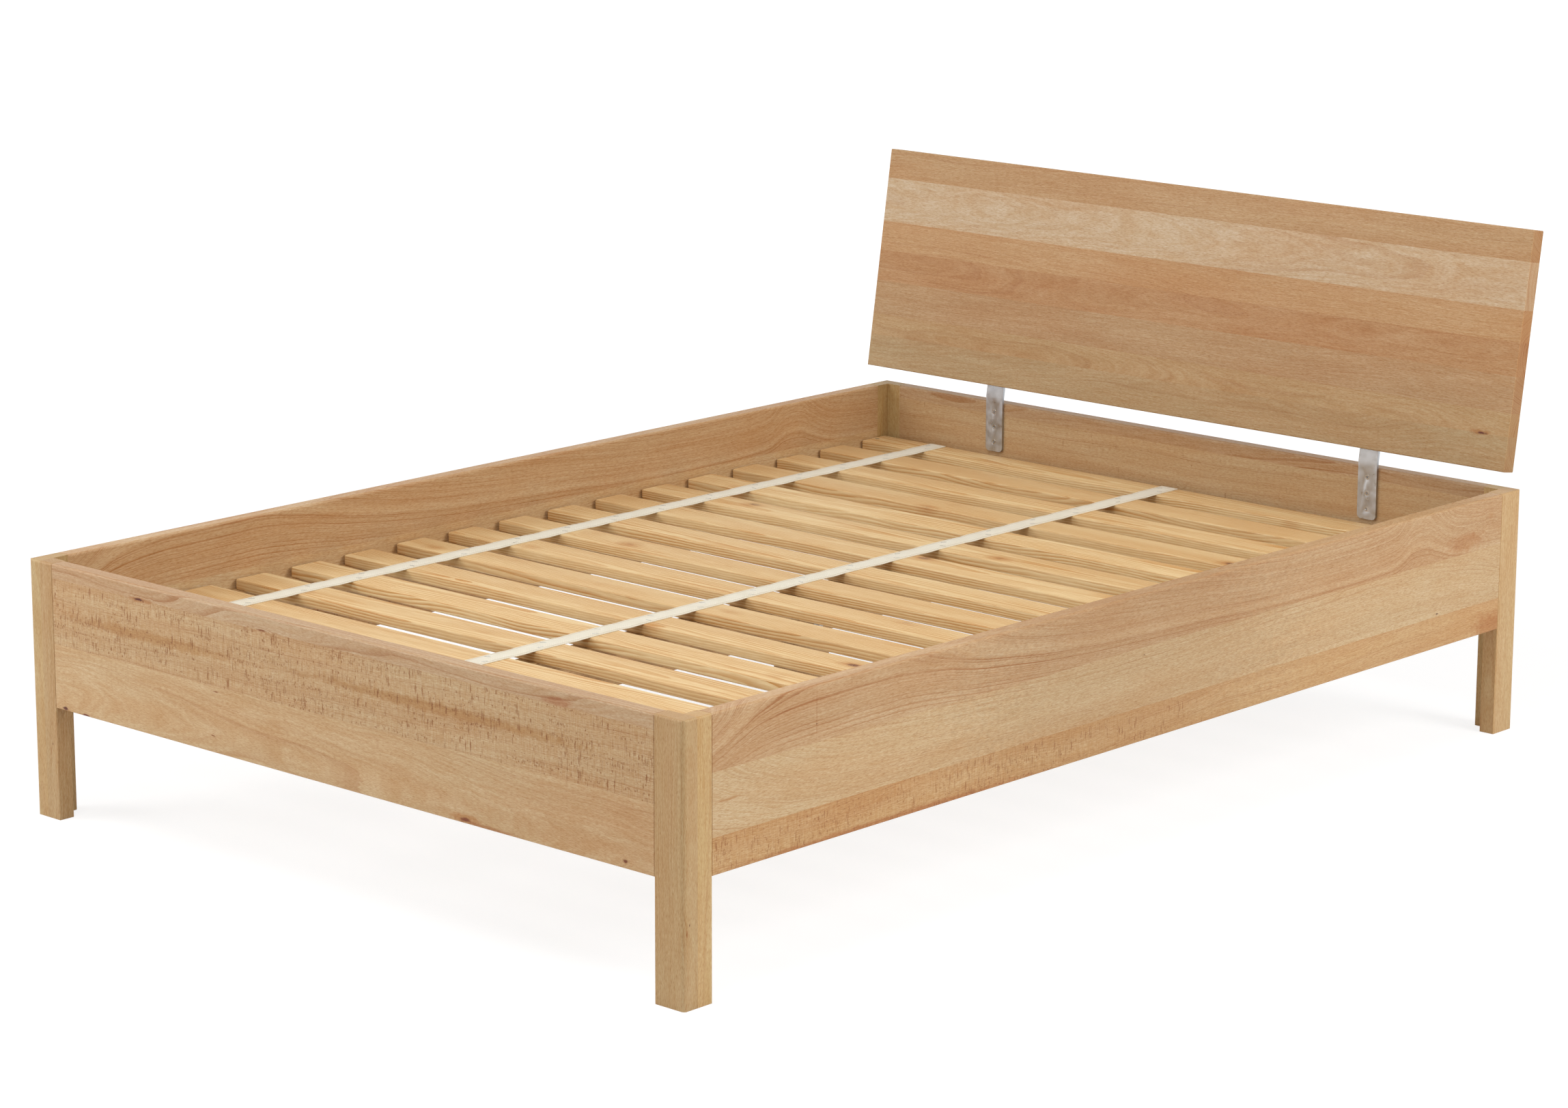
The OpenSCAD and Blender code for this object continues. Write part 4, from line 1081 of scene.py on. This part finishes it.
# %% Staples, two where a strap crosses a slat
def staple(crown, leg, wire):
    """A bent wire with flat sides: its crown lies on the strap, its legs are in the wood."""
    bm = bmesh.new()
    path = [(-crown / 2, -leg), (-crown / 2, -wire), (-crown / 2 + wire, 0), (crown / 2 - wire, 0),
            (crown / 2, -wire), (crown / 2, -leg)]
    inner = [(-crown / 2 + wire, -leg), (-crown / 2 + wire, -1.6 * wire), (-crown / 2 + 1.8 * wire, -wire),
             (crown / 2 - 1.8 * wire, -wire), (crown / 2 - wire, -1.6 * wire), (crown / 2 - wire, -leg)]
    width = 1.2
    rows = [[bm.verts.new((x * MM, y * MM, z * MM)) for x, z in line]
            for line, y in ((path, -width / 2), (path, width / 2), (inner, width / 2), (inner, -width / 2))]
    for a in range(4):
        for i in range(5):
            bm.faces.new((rows[a][i], rows[a][i + 1], rows[(a + 1) % 4][i + 1], rows[(a + 1) % 4][i]))
    for i in (0, 5):
        bm.faces.new([row[i] for row in rows])
    return new_piece("staple", closed_mesh(bm, "staple"))


STAPLE_LIFT = 0.35 * MM       # half the wire, so that a staple's crown lies on its strap
STAPLE_SPOTS = (-9, 11), (9, -12)     # from the crossing's middle, in millimetres
strap_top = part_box("strap_left")[1][2]
staple_places = [(middle[0] + dx * MM, (i - (SLAT_COUNT - 1) / 2) * slat_pitch + dy * MM,
                  strap_top + STAPLE_LIFT)
                 for middle in straps.values() for i in range(SLAT_COUNT) for dx, dy in STAPLE_SPOTS]
wire_staple = staple(11.0, 5.0, 0.7)
stapling = screw_tree()
staples = grown("strap_staples", stapling, {"Screw": wire_staple, "Seed": 0, "Material": zinc_screw},
                point_mesh("staple_places", staple_places, [(0, 0, 1)] * len(staple_places)))
bpy.data.objects.remove(wire_staple)
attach(staples, "frame")
print("staples:", len(staple_places))

# %% [markdown]
# ## Steel fittings
#
# Sheet steel never has a perfectly sharp edge, because the press rounds it, and that thin round
# catches the light. So each fitting is copied from its plain solid, its flat faces are made
# whole again, and a small bevel eases its edges.

# %% Eased fittings
def eased_copy(node_name, name, width, material):
    bm = bmesh.new()
    bm.from_mesh(nodes[node_name].data)
    bmesh.ops.remove_doubles(bm, verts=bm.verts, dist=1e-5)
    bmesh.ops.dissolve_limit(bm, angle_limit=math.radians(1.0), verts=bm.verts, edges=bm.edges)
    mesh = bpy.data.meshes.new(name)
    bm.to_mesh(mesh)
    bm.free()
    piece = new_piece(name, mesh)
    ease = piece.modifiers.new("ease", "BEVEL")
    ease.width, ease.segments, ease.limit_method, ease.angle_limit = width, 2, "ANGLE", math.radians(40)
    bpy.context.view_layer.update()
    done = bpy.data.meshes.new_from_object(piece.evaluated_get(bpy.context.evaluated_depsgraph_get()))
    piece.modifiers.clear()
    piece.data = done
    done.materials.clear()
    done.materials.append(material)
    crisp(done, 18)
    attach(piece, "frame")
    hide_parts(node_name)
    return piece


fittings = [n for n in nodes if n.startswith(("corner_bracket", "beam_hanger", "headboard_bracket"))]
for node_name in fittings:
    fitting = eased_copy(node_name, "eased_" + node_name, 0.5 * MM, zinc_strip)
    print(fitting.name, len(fitting.data.polygons), "faces")

# %% [markdown]
# ## The studio
#
# A pale floor, a white surround and broad soft lamps. The floor looks white to the camera, but
# it gives the object no more light than a pale floor would, and it keeps the soft shadow.

# %% Floor, world and lamps
FLOOR_GLOW = 0.7      # the share of the floor that the camera sees as plain white
FLOOR_EDGE = 2.2      # from here outwards, in metres, the floor fades to plain white
WORLD_LEVEL = 0.5     # the light that the surround gives the object


def seen_directly(tree):
    """1 for a ray from the camera or from something glossy, 0 for the light that falls on the object."""
    ray = add(tree, "ShaderNodeLightPath").outputs
    return add(tree, "ShaderNodeMath", {0: ray["Is Camera Ray"], 1: ray["Is Glossy Ray"]},
               operation="MAXIMUM")


def make_floor(edge):
    bpy.ops.mesh.primitive_circle_add(vertices=96, radius=60, fill_type="NGON", location=(0, 0, 0))
    floor = bpy.context.object
    floor.name = "studio_floor"
    material, tree = empty_material("pale_studio_floor")
    seen = seen_directly(tree)
    place = add(tree, "ShaderNodeTexCoord").outputs["Object"]
    away = add(tree, "ShaderNodeVectorMath", {0: place}, operation="LENGTH").outputs["Value"]
    far = add(tree, "ShaderNodeMapRange", {0: away, 1: edge, 2: 1.8 * edge, 3: FLOOR_GLOW, 4: 1.0},
              interpolation_type="SMOOTHSTEP").outputs[0]
    share = add(tree, "ShaderNodeMath", {0: seen, 1: far}, operation="MULTIPLY").outputs[0]
    paint = add(tree, "ShaderNodeBsdfDiffuse", {"Color": colour("#f4f4f4")})
    glow = add(tree, "ShaderNodeEmission", {"Color": (1, 1, 1, 1), "Strength": 1.15})
    both = add(tree, "ShaderNodeMixShader", {0: share, 1: paint, 2: glow})
    add(tree, "ShaderNodeOutputMaterial", {0: both})
    floor.data.materials.append(material)


def make_world(level):
    world = bpy.data.worlds.new("studio")
    bpy.context.scene.world = world
    world.use_nodes = True
    tree = world.node_tree
    tree.nodes.clear()
    seen = seen_directly(tree)
    strength = add(tree, "ShaderNodeMapRange", {0: seen, 3: level, 4: 1.0})
    light = add(tree, "ShaderNodeBackground", {"Color": (1, 1, 1, 1), "Strength": strength})
    add(tree, "ShaderNodeOutputWorld", {0: light})


def add_lamp(name, at, aim, size, power):
    light = bpy.data.lights.new(name, "AREA")
    light.shape = "DISK"
    light.size = size
    light.energy = power
    lamp = bpy.data.objects.new(name, light)
    bpy.context.scene.collection.objects.link(lamp)
    lamp.location = at
    lamp.rotation_euler = (Vector(aim) - Vector(at)).to_track_quat("-Z", "Y").to_euler()


make_floor(FLOOR_EDGE)
make_world(WORLD_LEVEL)
add_lamp("left_softbox", (-2.4, -2.9, 1.9), (-0.8, -1.0, 0.3), 2.0, 50)
add_lamp("right_softbox", (4.8, 1.2, 3.2), (0.7, 0.3, 0.3), 2.4, 140)
add_lamp("overhead_softbox", (0.5, -1.8, 3.8), (0.2, 0.2, 0.3), 2.4, 60)

# %% [markdown]
# ## The camera
#
# A long lens from a little above the mattress, looking over the foot's right corner.

# %% Camera
def make_camera(at, turn, tip, roll, lens):
    camera = bpy.data.cameras.new("camera")
    camera.lens = lens
    camera.sensor_width = 36.0
    camera.clip_end = 100.0
    view = bpy.data.objects.new("camera", camera)
    bpy.context.scene.collection.objects.link(view)
    aim = Matrix.Rotation(math.radians(turn), 4, "Z") @ Matrix.Rotation(math.radians(90 + tip), 4, "X")
    aim = aim @ Matrix.Rotation(math.radians(roll), 4, "Z")
    view.matrix_world = Matrix.Translation(at) @ aim
    bpy.context.scene.camera = view


make_camera(at=(4.8994, -5.3794, 2.0668), turn=42.56, tip=-13.10, roll=0.148, lens=102.65)
bpy.context.scene.view_settings.view_transform = "Standard"

# %% [markdown]
# ## Last look
#
# Every solid that the camera would see without a finish is named here.

# %% Finish
undressed = [n for n, node in nodes.items() if not node.hide_render and not (
    node.data.materials and node.data.materials[0].name.startswith(
        ("oiled", "planed", "zinc", "bright", "turned", "moulded", "woven")))]
print("solids without a finish:", undressed)
